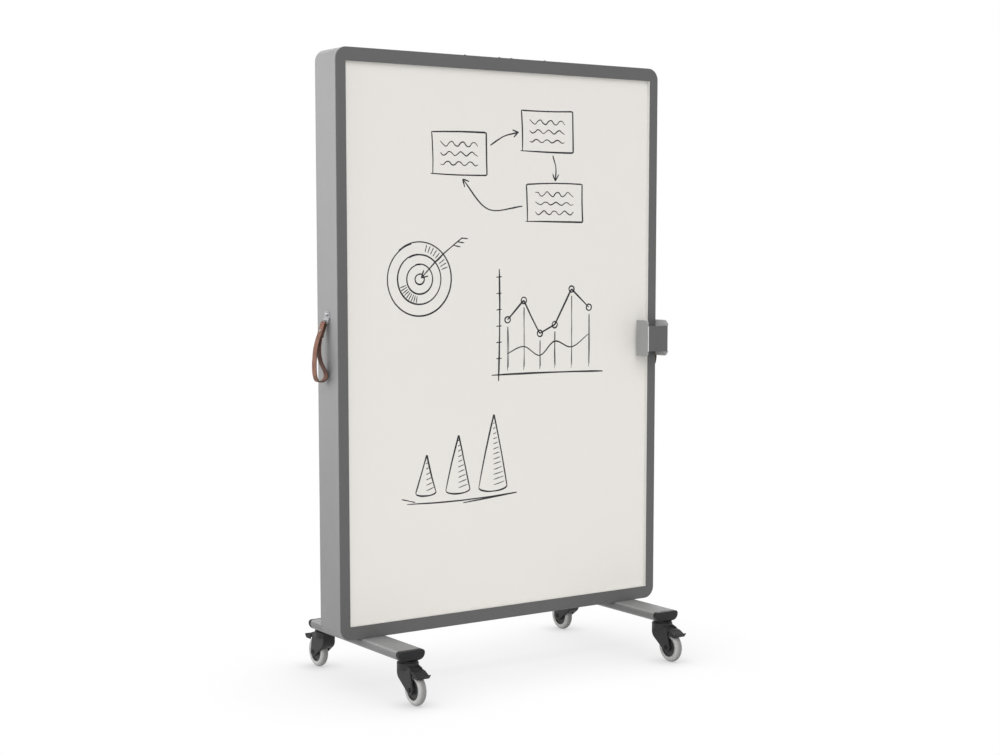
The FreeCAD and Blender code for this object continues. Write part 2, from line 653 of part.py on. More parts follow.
def brake_pedal():
    """Hooded foot pedal on two pins, open below over the tyre."""
    half = PEDAL_WIDTH / 2
    inner = half - PEDAL_WALL
    ceiling = PEDAL_SHOULDER_HEIGHT - PEDAL_WALL * 2
    nose = PEDAL_FRONT - PEDAL_WALL
    shell = prism_yz([
        (PEDAL_ROOT, PEDAL_TOP_HEIGHT), (PEDAL_SHOULDER, PEDAL_SHOULDER_HEIGHT),
        (PEDAL_FRONT, PEDAL_NOSE_HEIGHT),
        (PEDAL_TIP - PEDAL_WALL / 2, PEDAL_TIP_HEIGHT), (PEDAL_TIP, PEDAL_TIP_HEIGHT - PEDAL_WALL / 2),
        (PEDAL_FRONT, PEDAL_SKIRT_HEIGHT), (PEDAL_SKIRT_BACK, PEDAL_SKIRT_HEIGHT),
        (PEDAL_SKIRT_BACK, ceiling),
        (PEDAL_ROOT, ceiling)], half)
    shell = shell.makeFillet(PEDAL_EDGE,
                             edges_on_plane(shell, X_AXIS, half) + edges_on_plane(shell, X_AXIS, -half))
    hollow = prism_yz([
        (PEDAL_ROOT - OVERRUN, 0), (PEDAL_ROOT - OVERRUN, ceiling), (PEDAL_SHOULDER, ceiling),
        (nose, PEDAL_NOSE_HEIGHT - PEDAL_WALL), (nose, 0)], inner)
    neck = box((-WHEEL_SPACE_HALF + THRUST_GAP, PEDAL_PIVOT_OUT, PEDAL_PIVOT_HEIGHT - PEDAL_WALL),
               (WHEEL_SPACE_HALF - THRUST_GAP, PEDAL_SHOULDER, PEDAL_PIVOT_HEIGHT))
    hub = WHEEL_SPACE_HALF - THRUST_GAP
    pin = WHEEL_SPACE_HALF + PEDAL_PIN_REACH
    barrel = rod(PEDAL_HUB_RADIUS, (-hub, PEDAL_PIVOT_OUT, PEDAL_PIVOT_HEIGHT),
                 (hub, PEDAL_PIVOT_OUT, PEDAL_PIVOT_HEIGHT))
    pins = rod(PEDAL_PIN_RADIUS, (-pin, PEDAL_PIVOT_OUT, PEDAL_PIVOT_HEIGHT),
               (pin, PEDAL_PIVOT_OUT, PEDAL_PIVOT_HEIGHT))
    return shell.cut(hollow).fuse([neck, barrel, pins]).removeSplitter()


def caster_place(side, end):
    """Placement that carries a caster to its stem, with its wheel trailing outwards."""
    turn = 0 if end > 0 else HALF_TURN
    return FreeCAD.Placement(V(side * FOOT_OFFSET, end * CASTER_OFFSET, 0), FreeCAD.Rotation(Z_AXIS, turn))


# Leather pulls, built for the right side with X as the distance out from the side face

def strap_point(share):
    """Point of the strap's side view, from shares of its reach and length."""
    return V(share[0] * STRAP_REACH, 0, STRAP_PIVOT_Z + share[1] * STRAP_LENGTH)


def closed_curve(points):
    """Face inside a smooth closed curve."""
    curve = Part.BSplineCurve()
    curve.interpolate(points, PeriodicFlag=True)
    return Part.Face(Part.Wire(curve.toShape()))


def across_strap(face, half):
    """Solid from a side-view face, centred on the strap."""
    solid = face.extrude(Y_AXIS * half * len(SIDES))
    solid.translate(Y_AXIS * -half)
    return solid


def inner_points(points, rest):
    """Points moved in by the strap's thickness, square to the closed curve through them and the rest."""
    ring = points + rest
    moved = []
    for i in range(len(points)):
        run = (ring[i + 1] - ring[i - 1]).normalize()
        moved.append(points[i] + V(run.z, 0, -run.x) * STRAP_THICKNESS)
    return moved


def neck_frame():
    """Bar centre, the run down the strap's neck, and the layer's thickness square to it, outwards."""
    bar = V(STRAP_PIVOT_OUT, 0, STRAP_PIVOT_Z)
    span = strap_point(STRAP_NECK_SHARE) - bar
    layer = V(-span.z, 0, span.x).normalize() * STRAP_THICKNESS
    return bar, span, layer


def neck_slab(share, low, high):
    """Side view of the neck between two levels counted in layers, from the bar down to a share of its run."""
    bar, span, layer = neck_frame()
    top = [bar + layer * low, bar + layer * high]
    base = [point + span * share for point in reversed(top)]
    return Part.Face(Part.makePolygon(top + base + top[:1]))


def rivet_rod(radius, low, high):
    """Rod across the strap's neck at the rivet, between two distances from its middle."""
    bar, span, layer = neck_frame()
    middle = bar + span * RIVET_SHARE
    out = V(layer).normalize()
    return rod(radius, middle + out * low, middle + out * high)


def strap():
    """Leather loop: a fold round the plate's bar, a riveted neck with the loop's end, and a short tail."""
    half = STRAP_WIDTH / 2
    bar, span, layer = neck_frame()
    loop = [strap_point(share) for share in STRAP_LOOP_SHARES]
    grip = [bar + span * along + layer * across for along, across in STRAP_GRIP_SHARES]
    outer = across_strap(closed_curve(loop + grip), half)
    parting = [strap_point(STRAP_PARTING_SHARE)]
    hole = across_strap(closed_curve(inner_points(loop, grip) + parting), half + OVERRUN)
    edge = STRAP_NECK_LAYERS / 2
    neck = across_strap(neck_slab(1, -edge, edge), half)
    tail = across_strap(neck_slab(STRAP_TAIL_SHARE, -edge, 0), half)
    eye_radius = PLATE_BAR_RADIUS + FIT + SEAT_FIT
    fold = rod(eye_radius + STRAP_THICKNESS, bar - Y_AXIS * half, bar + Y_AXIS * half)
    eye = rod(eye_radius, bar - Y_AXIS * (half + OVERRUN), bar + Y_AXIS * (half + OVERRUN))
    solid = outer.cut(hole).fuse([neck, tail, fold]).cut(eye)
    reach = NECK_HALF + OVERRUN
    return solid.cut(rivet_rod(RIVET_SHANK_RADIUS + FIT, -reach, reach))


def rivet():
    """Rivet through all layers of the strap's neck."""
    head = NECK_HALF + RIVET_HEAD_HEIGHT
    shank = rivet_rod(RIVET_SHANK_RADIUS, -head, head)
    heads = [rivet_rod(RIVET_RADIUS, NECK_HALF, head), rivet_rod(RIVET_RADIUS, -head, -NECK_HALF)]
    return shank.fuse(heads).removeSplitter()


def handle_plate():
    """Hanger plate: flat on the side face, bent outwards to a bar that holds the strap."""
    half = PLATE_WIDTH / 2
    bend = STRAP_PIVOT_Z + PLATE_BEND_HEIGHT
    flat = box((0, -half, bend), (PLATE_THICKNESS, half, bend + PLATE_HEIGHT))
    corners = [e for e in lines_along(flat, X_AXIS) if e.BoundBox.ZMin > bend + FIT]
    flat = flat.makeFillet(PLATE_CORNER, corners)
    bar = V(STRAP_PIVOT_OUT, 0, STRAP_PIVOT_Z)
    run = (bar - V(PLATE_THICKNESS / 2, 0, bend)).normalize()
    across = V(-run.z, 0, run.x) * (PLATE_THICKNESS / 2)
    root = V(PLATE_THICKNESS / 2, 0, bend)
    arm = Part.Face(Part.makePolygon([root - across, root + across, bar + across, bar - across,
                                      root - across]))
    slot_top = bar - run * PLATE_SLOT_HEIGHT
    deep = across * (OVERRUN / PLATE_THICKNESS)
    slot = Part.Face(Part.makePolygon([slot_top - deep, slot_top + deep, bar + deep, bar - deep,
                                       slot_top - deep]))
    knuckle = rod(PLATE_THICKNESS / 2, root - Y_AXIS * half, root + Y_AXIS * half)
    arms = across_strap(arm, half).cut(across_strap(slot, PLATE_SLOT_WIDTH / 2))
    plate = flat.fuse([arms, knuckle, rod(PLATE_BAR_RADIUS, bar - Y_AXIS * half, bar + Y_AXIS * half)])
    plate = plate.cut(box((-OVERRUN, -half, STRAP_PIVOT_Z), (0, half, bend + PLATE_HEIGHT)))
    hole = rod(STUD_RADIUS + FIT, (-OVERRUN, 0, stud_height()), (OVERRUN, 0, stud_height()))
    return plate.cut(hole).removeSplitter()


def handle_screw():
    """Domed screw that clamps the hanger plate to the side of the case."""
    top = PLATE_THICKNESS + STUD_HEAD_HEIGHT
    head = rod(STUD_HEAD_RADIUS, (PLATE_THICKNESS, 0, stud_height()), (top, 0, stud_height()))
    head = head.makeFillet(STUD_HEAD_EDGE, edges_on_plane(head, X_AXIS, top))
    return head.fuse(rod(STUD_RADIUS, (-STUD_LENGTH, 0, stud_height()), (PLATE_THICKNESS, 0, stud_height())))


def on_side(shape, side):
    """Carry a pull's piece from its own frame to one side of the case."""
    turned = shape if side > 0 else shape.mirror(V(0, 0, 0), X_AXIS)
    return turned.translated(X_AXIS * side * HALF_WIDTH)


# Accessory holder

def cheek(x, y_back):
    """Upright wall of the holder with rounded front corners."""
    front = -HALF_DEPTH - HOLDER_DEPTH
    base = CASE_BASE + HOLDER_BASE
    wall = box((x, front, base), (x + HOLDER_SHEET, y_back, base + HOLDER_HEIGHT))
    return wall.makeFillet(HOLDER_CORNER,
                           [e for e in lines_along(wall, X_AXIS) if e.BoundBox.YMax < front + FIT])


def accessory_holder():
    """Folded sheet: two cheeks and a lower front plate, open at the top and the bottom."""
    front = -HALF_DEPTH - HOLDER_DEPTH
    right = HALF_WIDTH + HOLDER_SHEET
    left = right - HOLDER_WIDTH
    base = CASE_BASE + HOLDER_FRONT_BASE
    top = base + HOLDER_FRONT_HEIGHT
    plate = box((left, front, base), (right, front + HOLDER_BEND, top))
    plate = plate.makeFillet(HOLDER_BEND - FIT,
                             [e for e in lines_along(plate, Z_AXIS) if e.BoundBox.YMax < front + FIT])
    room = box((left + HOLDER_SHEET, front + HOLDER_SHEET, base - OVERRUN), (HALF_WIDTH, 0, top + OVERRUN))
    cheeks = cheek(left, -HALF_DEPTH - SEAT_FIT).fuse(cheek(HALF_WIDTH, HOLDER_TAB - HALF_DEPTH))
    edge = HOLDER_BEND - FIT
    trims = []
    for x, inward in ((left, 1), (right, -1)):
        xs = sorted((x - inward * OVERRUN, x + inward * edge))
        block = box((xs[0], front - OVERRUN, base), (xs[1], front + edge, top))
        trims.append(block.cut(rod(edge, (x + inward * edge, front + edge, base),
                                   (x + inward * edge, front + edge, top))))
    folded = cheeks.cut(trims).fuse(plate.cut(room))
    return folded.cut(holder_screw_holes()).removeSplitter()


def holder_screws():
    """Two screws that hold the holder through the side of the case."""
    screws = []
    for z in holder_screw_heights():
        screw = small_screw(HOLDER_SCREW_LENGTH)
        place = FreeCAD.Placement(V(HALF_WIDTH + HOLDER_SHEET, -SCREW_ROW, z),
                                  FreeCAD.Rotation(Z_AXIS, X_AXIS))
        screw.Placement = place
        screws.append(screw)
    return Part.makeCompound(screws)


def with_holder_holes(bezel):
    """Front bezel with the holes that the holder's screws need in its flange."""
    return bezel.cut([holder_screw_holes()])


def save_case():
    """Band, bezels, boards, inner frame and their screws."""
    bezel = front_bezel()
    save("outer_band", outer_band())
    save("front_bezel", with_holder_holes(bezel))
    save("rear_bezel", mirror_depth(bezel))
    sheet = board_slab(-BOARD_FACE, -SHEET_BACK)
    backing = board_slab(-SHEET_BACK, -CORE_HALF)
    save("front_writing_sheet", sheet)
    save("rear_writing_sheet", mirror_depth(sheet))
    save("front_backing_board", backing)
    save("rear_backing_board", mirror_depth(backing))
    for name, side in SIDES.items():
        save(name + "_side_upright", side_upright(side))
        save(name + "_centre_upright", centre_upright(side))
    save("top_rail", rail(CASE_TOP - BAND_SHEET - TUBE_WIDTH, CASE_TOP - BAND_SHEET))
    save("bottom_rail", bottom_rail())
    save("bezel_screws", bezel_screws())


def save_feet():
    """Feet, caps and the pieces that fasten them."""
    beam = foot()
    cap = end_cap()
    for side_name, side in SIDES.items():
        save(side_name + "_foot", beam.translated(X_AXIS * side * FOOT_OFFSET))
        for end_name, end in ENDS.items():
            piece = cap if end > 0 else mirror_depth(cap)
            save("end_cap_" + end_name + "_" + side_name, piece.translated(X_AXIS * side * FOOT_OFFSET))
    save("foot_bolts", foot_bolts())
    save("foot_spacers", foot_spacers())
    save("foot_nut_plates", foot_nut_plates())


def save_casters():
    """Four casters, each as a stem, fork, axle, hub, tyre and pedal, and their bearings."""
    shapes = {"caster_stem": caster_stem(), "fork": fork(), "axle": axle(), "wheel_hub": wheel_hub(),
              "tyre": tyre(), "brake_pedal": brake_pedal()}
    bearing = swivel_bearing()
    bearings = []
    for side_name, side in SIDES.items():
        for end_name, end in ENDS.items():
            place = caster_place(side, end)
            bearings.append(bearing.transformed(place.toMatrix()))
            for name, shape in shapes.items():
                save(name + "_" + end_name + "_" + side_name, shape.transformed(place.toMatrix()))
    save("swivel_bearings", Part.makeCompound(bearings))


def save_pulls():
    """The leather pull on each side and the screws that hold it."""
    screws = []
    for name, side in SIDES.items():
        save(name + "_strap", on_side(strap(), side))
        save(name + "_strap_rivet", on_side(rivet(), side))
        save(name + "_handle_plate", on_side(handle_plate(), side))
        screws.append(on_side(handle_screw(), side))
    save("handle_screws", Part.makeCompound(screws))


def main():
    """Write every sub-part."""
    os.makedirs("parts", exist_ok=True)
    save_case()
    save_feet()
    save_casters()
    save_pulls()
    save("accessory_holder", accessory_holder())
    save("holder_screws", holder_screws())


main()
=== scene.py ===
"""Looks of the mobile whiteboard wall: finishes, leather pulls, marker sketches, studio and camera."""

from __future__ import annotations

import logging
import math
from collections.abc import Iterable
from dataclasses import dataclass, field
from enum import Enum

import bmesh
import bpy
import numpy as np
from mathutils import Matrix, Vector

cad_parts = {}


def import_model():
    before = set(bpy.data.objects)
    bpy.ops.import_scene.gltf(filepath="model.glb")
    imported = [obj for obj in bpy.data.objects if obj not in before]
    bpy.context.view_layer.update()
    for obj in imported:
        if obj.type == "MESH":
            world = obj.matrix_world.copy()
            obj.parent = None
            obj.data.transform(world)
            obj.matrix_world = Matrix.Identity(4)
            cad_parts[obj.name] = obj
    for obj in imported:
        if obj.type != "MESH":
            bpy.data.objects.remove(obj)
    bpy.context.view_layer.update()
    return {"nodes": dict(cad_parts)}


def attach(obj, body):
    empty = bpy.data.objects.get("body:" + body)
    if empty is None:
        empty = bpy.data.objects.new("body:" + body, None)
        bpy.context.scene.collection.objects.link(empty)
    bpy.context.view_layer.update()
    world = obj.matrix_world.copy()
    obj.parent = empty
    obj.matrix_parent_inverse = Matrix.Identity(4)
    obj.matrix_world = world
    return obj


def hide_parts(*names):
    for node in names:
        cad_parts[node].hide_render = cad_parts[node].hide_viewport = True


logging.basicConfig(level=logging.INFO, format="%(levelname)s %(message)s")
log = logging.getLogger("whiteboard_wall")

Pair = tuple[float, float]
Point = tuple[float, float, float]
Colour = tuple[float, float, float]
Socket = bpy.types.NodeSocket
Feed = Socket | float | tuple


def linear(*srgb: float) -> Colour:
    """Turns 0 to 255 screen values into linear ones.

    Args:
        srgb: red, green and blue as they show on a screen.

    Returns:
        The same colour in linear light: ((c + 0.055) / 1.055) ** 2.4 above the straight foot of the curve.
    """
    c = np.array(srgb, float) / 255.0
    out = np.where(c <= 0.04045, c / 12.92, ((c + 0.055) / 1.055) ** 2.4)
    return tuple(float(v) for v in out)


class Side(Enum):
    """The two sides of the wall, with the sign of X."""

    LEFT = -1
    RIGHT = 1


class Face(Enum):
    """The two writing faces, with the sign of Y."""

    FRONT = -1
    REAR = 1


# Finishes

# Nearly all values of a fractal noise lie between these two.
NOISE_LOW, NOISE_HIGH = 0.3, 0.7

# Sockets of a Mix node that works on colours.
MIX_FACTOR, MIX_FIRST, MIX_SECOND, MIX_RESULT = 0, 6, 7, 2


def scaled(colour: Colour, factor: float, lift: float = 0.0) -> Colour:
    """A colour times factor plus lift, at most white."""
    return tuple(min(1.0, c * factor + lift) for c in colour)


def feed(tree: bpy.types.NodeTree, node: bpy.types.Node, inputs: Iterable[tuple[int | str, Feed]]) -> None:
    """Links or sets some inputs of a node.

    Args:
        tree: where the node is.
        node: the node.
        inputs: the number or name of each input, with its value or another node's output.
    """
    for key, value in inputs:
        if isinstance(value, Socket):
            tree.links.new(value, node.inputs[key])
        else:
            node.inputs[key].default_value = value


def add_node(tree: bpy.types.NodeTree, kind: str, *first: Feed, **named: Feed) -> bpy.types.Node:
    """Adds a shader node.

    Args:
        tree: where it goes.
        kind: its type, without the leading ShaderNode.
        first: a value or another node's output for each of its first inputs.
        named: the same for inputs by name, which is given with _ for a space.

    Returns:
        The node.
    """
    node = tree.nodes.new(f"ShaderNode{kind}")
    feed(tree, node, enumerate(first))
    feed(tree, node, ((name.replace("_", " "), value) for name, value in named.items()))
    return node


class NodeSheet:
    """A material's node tree with short calls for the nodes that the finishes share."""

    def __init__(self, name: str) -> None:
        """Makes an empty material with a Principled surface.

        Args:
            name: the material's name.
        """
        self.material = bpy.data.materials.new(name)
        self.material.use_nodes = True
        self.tree = self.material.node_tree
        self.shader = self.tree.nodes["Principled BSDF"]
        self.coords = self.add("TexCoord")

    def add(self, kind: str, *first: Feed, **named: Feed) -> bpy.types.Node:
        """Adds a node to the sheet, as add_node does."""
        return add_node(self.tree, kind, *first, **named)

    def set(self, **values: float) -> None:
        """Sets the shader's own sockets, whose names are given with _ for a space."""
        for key, value in values.items():
            self.shader.inputs[key.replace("_", " ")].default_value = value

    def place(self, scale: Point = (1.0, 1.0, 1.0)) -> Socket:
        """Object coordinates, stretched by scale along each axis."""
        return self.add("Mapping", Vector=self.coords.outputs["Object"], Scale=scale).outputs["Vector"]

    def axes(self, source: str) -> bpy.types.bpy_prop_collection:
        """Outputs X, Y and Z of one of the coordinates, Object or Normal."""
        return self.add("SeparateXYZ", self.coords.outputs[source]).outputs

    def lean(self, axis: str) -> Socket:
        """How far the surface faces along an axis, either way, from 0 to 1."""
        return self.math("ABSOLUTE", self.axes("Normal")[axis], 0.0)

    def noise(self, vector: Socket, scale: float, detail: float = 3.0, rough: float = 0.55) -> Socket:
        """Fractal noise.

        Args:
            vector: where it is read.
            scale: how fine it is.
            detail: how many finer octaves it has.
            rough: how much the finer ones weigh.

        Returns:
            A number from 0 to 1.
        """
        return self.add("TexNoise", Vector=vector, Scale=scale, Detail=detail, Roughness=rough).outputs["Fac"]

    def cells(self, vector: Socket, scale: float) -> Socket:
        """Cells of a pebbled grain.

        Args:
            vector: where they are read.
            scale: how fine they are.

        Returns:
            The distance to the nearest cell border.
        """
        node = self.add("TexVoronoi", Vector=vector, Scale=scale)
        node.feature = "DISTANCE_TO_EDGE"
        return node.outputs["Distance"]

    def attribute(self, name: str) -> Socket:
        """Reads a number that is stored on the mesh.

        Args:
            name: the name that it is stored under.

        Returns:
            The number's output.
        """
        node = self.add("Attribute")
        node.attribute_name = name
        return node.outputs["Fac"]

    def ramp(self, value: Socket, stops: Iterable[tuple[float, Colour]]) -> Socket:
        """Colour by value.

        Args:
            value: the number that picks the colour.
            stops: places from 0 to 1 and their colours.

        Returns:
            The ramp's colour output.
        """
        node, stops = self.add("ValToRGB", value), list(stops)
        elements = node.color_ramp.elements
        while len(elements) < len(stops):
            elements.new(0.5)
        for element, (at, colour) in zip(elements, stops):
            element.position = at
            element.color = (*colour, 1.0)
        return node.outputs["Color"]

    def two_tone(self, value: Socket, low: Colour, high: Colour) -> Socket:
        """Colour from low to high over the usual range of a noise."""
        return self.ramp(value, [(NOISE_LOW, low), (NOISE_HIGH, high)])

    def math(self, operation: str, a: Socket | float, b: Socket | float) -> Socket:
        """One sum.

        Args:
            operation: the kind of sum.
            a: the first number or its output.
            b: the second one.

        Returns:
            The result's output.
        """
        node = self.add("Math", a, b)
        node.operation = operation
        return node.outputs[0]

    def spread(self, value: Socket, low: float, high: float) -> Socket:
        """Maps the usual range of a noise.

        Args:
            value: the noise.
            low: what the low end of the range becomes.
            high: what its high end becomes.

        Returns:
            A number between the two.
        """
        ends = {"From_Min": NOISE_LOW, "From_Max": NOISE_HIGH, "To_Min": low, "To_Max": high}
        return self.add("MapRange", Value=value, **ends).outputs["Result"]

    def portion(self, value: Socket, most: float) -> Socket:
        """A share from 0 to most that follows a noise."""
        return self.math("MULTIPLY", self.spread(value, 0.0, 1.0), most)

    def blend(self, colour: Socket, factor: Socket | float, other: Socket | Colour,
              way: str = "MIX") -> Socket:
        """Mixes a colour with another.

        Args:
            colour: the first colour.
            factor: the share of the other one.
            other: a colour's socket, or a fixed colour.
            way: the kind of mix.

        Returns:
            The mixed colour's output.
        """
        node = self.add("Mix")
        node.data_type, node.blend_type = "RGBA", way
        second = other if isinstance(other, Socket) else (*other, 1.0)
        feed(self.tree, node, ((MIX_FACTOR, factor), (MIX_FIRST, colour), (MIX_SECOND, second)))
        return node.outputs[MIX_RESULT]

    def wire(self, output: Socket, socket: str) -> None:
        """Links an output to one of the shader's sockets."""
        self.tree.links.new(output, self.shader.inputs[socket])

    def recolour(self, factor: Socket | float, other: Socket | Colour, way: str = "MIX") -> None:
        """Mixes another colour, as in blend, over the base colour that is already wired."""
        plain = self.shader.inputs["Base Color"].links[0].from_socket
        self.wire(self.blend(plain, factor, other, way), "Base Color")

    def gloss(self, value: Socket, roughness: float, wander: Pair) -> None:
        """Wires a roughness that follows a noise, from wander's first number below to its second above."""
        self.wire(self.spread(value, roughness - wander[0], roughness + wander[1]), "Roughness")

    def bump(self, height: Socket, strength: float, distance: float) -> None:
        """Adds a bump over what the normal already holds.

        Args:
            height: the relief, from 0 to 1.
            strength: how much of it shows.
            distance: its depth in metres.
        """
        node = self.add("Bump", Height=height, Strength=strength, Distance=distance)
        normal = self.shader.inputs["Normal"]
        if normal.is_linked:
            self.tree.links.new(normal.links[0].from_socket, node.inputs["Normal"])
        self.tree.links.new(node.outputs["Normal"], normal)


# In the finishes, a scale is how fine a noise is, wander is how far the roughness goes below and above, and a
# relief is the strength and the depth in metres of a bump.


@dataclass(frozen=True)
class Finish:
    """One finish: its material's name, its main colour, and how its nodes are laid out."""

    name: str
    colour: Colour

    def build(self) -> bpy.types.Material:
        """Builds the finished material."""
        sheet = NodeSheet(self.name)
        self.lay(sheet)
        return sheet.material

    def lay(self, sheet: NodeSheet) -> None:
        """Lays out the nodes.

        Args:
            sheet: where they go.
        """
        raise NotImplementedError


@dataclass(frozen=True)
class PowderCoat(Finish):
    """Baked powder paint: a fine orange peel, slight clouding and specks, and a gloss that wanders."""

    roughness: float = 0.42
    wander: Pair = (0.05, 0.06)
    gloss_scale: float = 14.0
    specular: float = 0.42
    clouding: float = 0.035
    cloud_scale: float = 2.3
    speck: float = 0.05
    speck_tone: float = 0.6
    speck_scale: float = 900.0
    peel_scale: float = 420.0
    relief: Pair = (0.16, 0.00025)

    def lay(self, sheet: NodeSheet) -> None:
        """Lays out the paint's nodes.

        Args:
            sheet: where they go.
        """
        vector = sheet.place()
        clouds = sheet.noise(vector, self.cloud_scale, detail=4.0)
        grain = sheet.noise(vector, self.speck_scale, detail=2.0, rough=0.7)
        low, high = scaled(self.colour, 1 - self.clouding), scaled(self.colour, 1 + self.clouding)
        base = sheet.two_tone(clouds, low, high)
        specks = sheet.portion(grain, self.speck)
        sheet.wire(sheet.blend(base, specks, scaled(self.colour, self.speck_tone)), "Base Color")
        sheet.gloss(sheet.noise(vector, self.gloss_scale), self.roughness, self.wander)
        sheet.set(Specular_IOR_Level=self.specular)
        sheet.bump(sheet.noise(vector, self.peel_scale, rough=0.6), *self.relief)


@dataclass(frozen=True, kw_only=True)
class EdgedPaint(PowderCoat):
    """Powder paint in three tones: the plain paint on what faces forwards or backwards, a painted highlight
    on the bends beside it, and on edges and returns a tone that is partly two-tone paint and partly painted
    light.

    The last two tones stay within half_span of the middle, across and up. By default that is everywhere.
    """

    bends: Colour
    edges: Colour
    middle: Pair = (0.0, 1.064)
    half_span: Pair = (9.0, 9.0)
    edges_to: float = 0.3
    bends_from: float = 0.5
    plain_from: float = 0.93
    fade: float = 0.08

    def lay(self, sheet: NodeSheet) -> None:
        """Lays out the paint's nodes.

        The normal's Y share picks the tone: the edge tone of paint and painted light up to edges_to, the
        painted bend highlight from bends_from, and the plain paint from plain_from, with a fade below it.
        Where
        |x - middle| or |z - middle| is above half_span, only the plain paint shows.

        Args:
            sheet: where they go.
        """
        super().lay(sheet)
        depth, place = sheet.lean("Y"), sheet.axes("Object")
        # The bends tone is a painted highlight; the edges tone is partly two-tone paint and partly painted
        # light.
        tones = sheet.ramp(depth, [(self.edges_to, self.edges), (self.bends_from, self.bends)])
        share = sheet.math("MULTIPLY", sheet.math("SUBTRACT", self.plain_from, depth), 1 / self.fade)
        share = sheet.math("MINIMUM", sheet.math("MAXIMUM", share, 0.0), 1.0)
        for axis, middle, half in zip("XZ", self.middle, self.half_span):
            away = sheet.math("ABSOLUTE", sheet.math("SUBTRACT", place[axis], middle), 0.0)
            share = sheet.math("MULTIPLY", share, sheet.math("LESS_THAN", away, half))
        sheet.recolour(share, tones)


@dataclass(frozen=True, kw_only=True)
class PocketPaint(EdgedPaint):
    """Edged paint with painted light in the pocket: a lighter tone on the far cheek's inner side, which is in
    shade.
    """

    inside: Colour
    beyond: float = 0.6
    turned: float = -0.5

    def lay(self, sheet: NodeSheet) -> None:
        """Lays out the paint's nodes, with the painted pocket light past X = beyond where the normal's X
        share is under turned.

        Args:
            sheet: where they go.
        """
        super().lay(sheet)
        inwards = sheet.math("LESS_THAN", sheet.axes("Normal")["X"], self.turned)
        far = sheet.math("GREATER_THAN", sheet.axes("Object")["X"], self.beyond)
        # Painted light: the far cheek's inner side is lightened where the pocket is in shade.
        sheet.recolour(sheet.math("MULTIPLY", inwards, far), self.inside)


@dataclass(frozen=True)
class BeamPaint(PowderCoat):
    """Beam powder paint: a painted highlight on the rounded edges, painted shade on the flats and sides."""

    flat: float = 0.85
    side: float = 0.61
    stops: tuple[float, float, float, float] = (0.2, 0.35, 0.7, 0.9)

    def lay(self, sheet: NodeSheet) -> None:
        """Lays out the paint's nodes.

        The normal's X share scales the colour: by flat up to the first of the stops, by 1 between the two in
        the middle, and by side from the last. The darker flats and sides are painted shade, which leaves a
        painted highlight on the rounded edges.

        Args:
            sheet: where they go.
        """
        super().lay(sheet)
        # Painted shade on the flats and sides, and a painted highlight along the rounded edges.
        scales = zip(self.stops, (self.flat, 1.0, 1.0, self.side))
        tones = sheet.ramp(sheet.lean("X"), [(at, (scale, scale, scale)) for at, scale in scales])
        sheet.recolour(1.0, tones, "MULTIPLY")


@dataclass(frozen=True)
class WritingEnamel(Finish):
    """Fired enamel for dry markers: almost even, with faint wiped streaks and a trace of old ink."""

    roughness: float = 0.3
    wander: Pair = (0.015, 0.02)
    specular: float = 0.4
    coat: Pair = (0.15, 0.12)
    wipe: Point = (1.1, 1.0, 5.0)
    wipe_scale: float = 3.0
    ghost_scale: float = 1.4
    ghost_stops: Pair = (0.35, 0.65)
    ghost_tone: float = 0.995
    ink: Colour = linear(120, 122, 126)
    ink_share: float = 0.003
    ripple_scale: float = 160.0
    relief: Pair = (0.01, 0.0001)

    def lay(self, sheet: NodeSheet) -> None:
        """Lays out the enamel's nodes. Its coat is a weight and a roughness.

        Args:
            sheet: where they go.
        """
        even = sheet.place()
        haze = sheet.noise(sheet.place(self.wipe), self.wipe_scale, detail=5.0, rough=0.6)
        ghost = sheet.noise(even, self.ghost_scale)
        tones = (scaled(self.colour, self.ghost_tone), self.colour)
        base = sheet.ramp(ghost, zip(self.ghost_stops, tones))
        sheet.wire(sheet.blend(base, sheet.portion(haze, self.ink_share), self.ink), "Base Color")
        sheet.gloss(haze, self.roughness, self.wander)
        sheet.set(Specular_IOR_Level=self.specular, Coat_Weight=self.coat[0], Coat_Roughness=self.coat[1])
        sheet.bump(sheet.noise(even, self.ripple_scale, detail=2.0), *self.relief)


@dataclass(frozen=True)
class SatinMetal(Finish):
    """Metal with a drawn or plated grain: fine lines along one axis, cloudy plating and rubbed gloss."""

    roughness: float
    wander: Pair = (0.06, 0.08)
    grain: Point = (60.0, 4.0, 60.0)
    grain_scale: float = 12.0
    relief: Pair = (0.12, 0.0002)
    cloud_scale: float = 18.0
    clouding: Pair = (0.9, 1.06)
    dull: float = 0.12
    dull_tone: float = 0.6

    def lay(self, sheet: NodeSheet) -> None:
        """Lays out the metal's nodes.

        Args:
            sheet: where they go.
        """
        lines = sheet.noise(sheet.place(self.grain), self.grain_scale, detail=4.0, rough=0.65)
        clouds = sheet.noise(sheet.place(), self.cloud_scale)
        base = sheet.two_tone(clouds, *(scaled(self.colour, tone) for tone in self.clouding))
        sheet.wire(sheet.blend(base, sheet.portion(lines, self.dull), scaled(self.colour, self.dull_tone)),
                   "Base Color")
        sheet.gloss(lines, self.roughness, self.wander)
        sheet.set(Metallic=1.0)
        sheet.bump(lines, *self.relief)


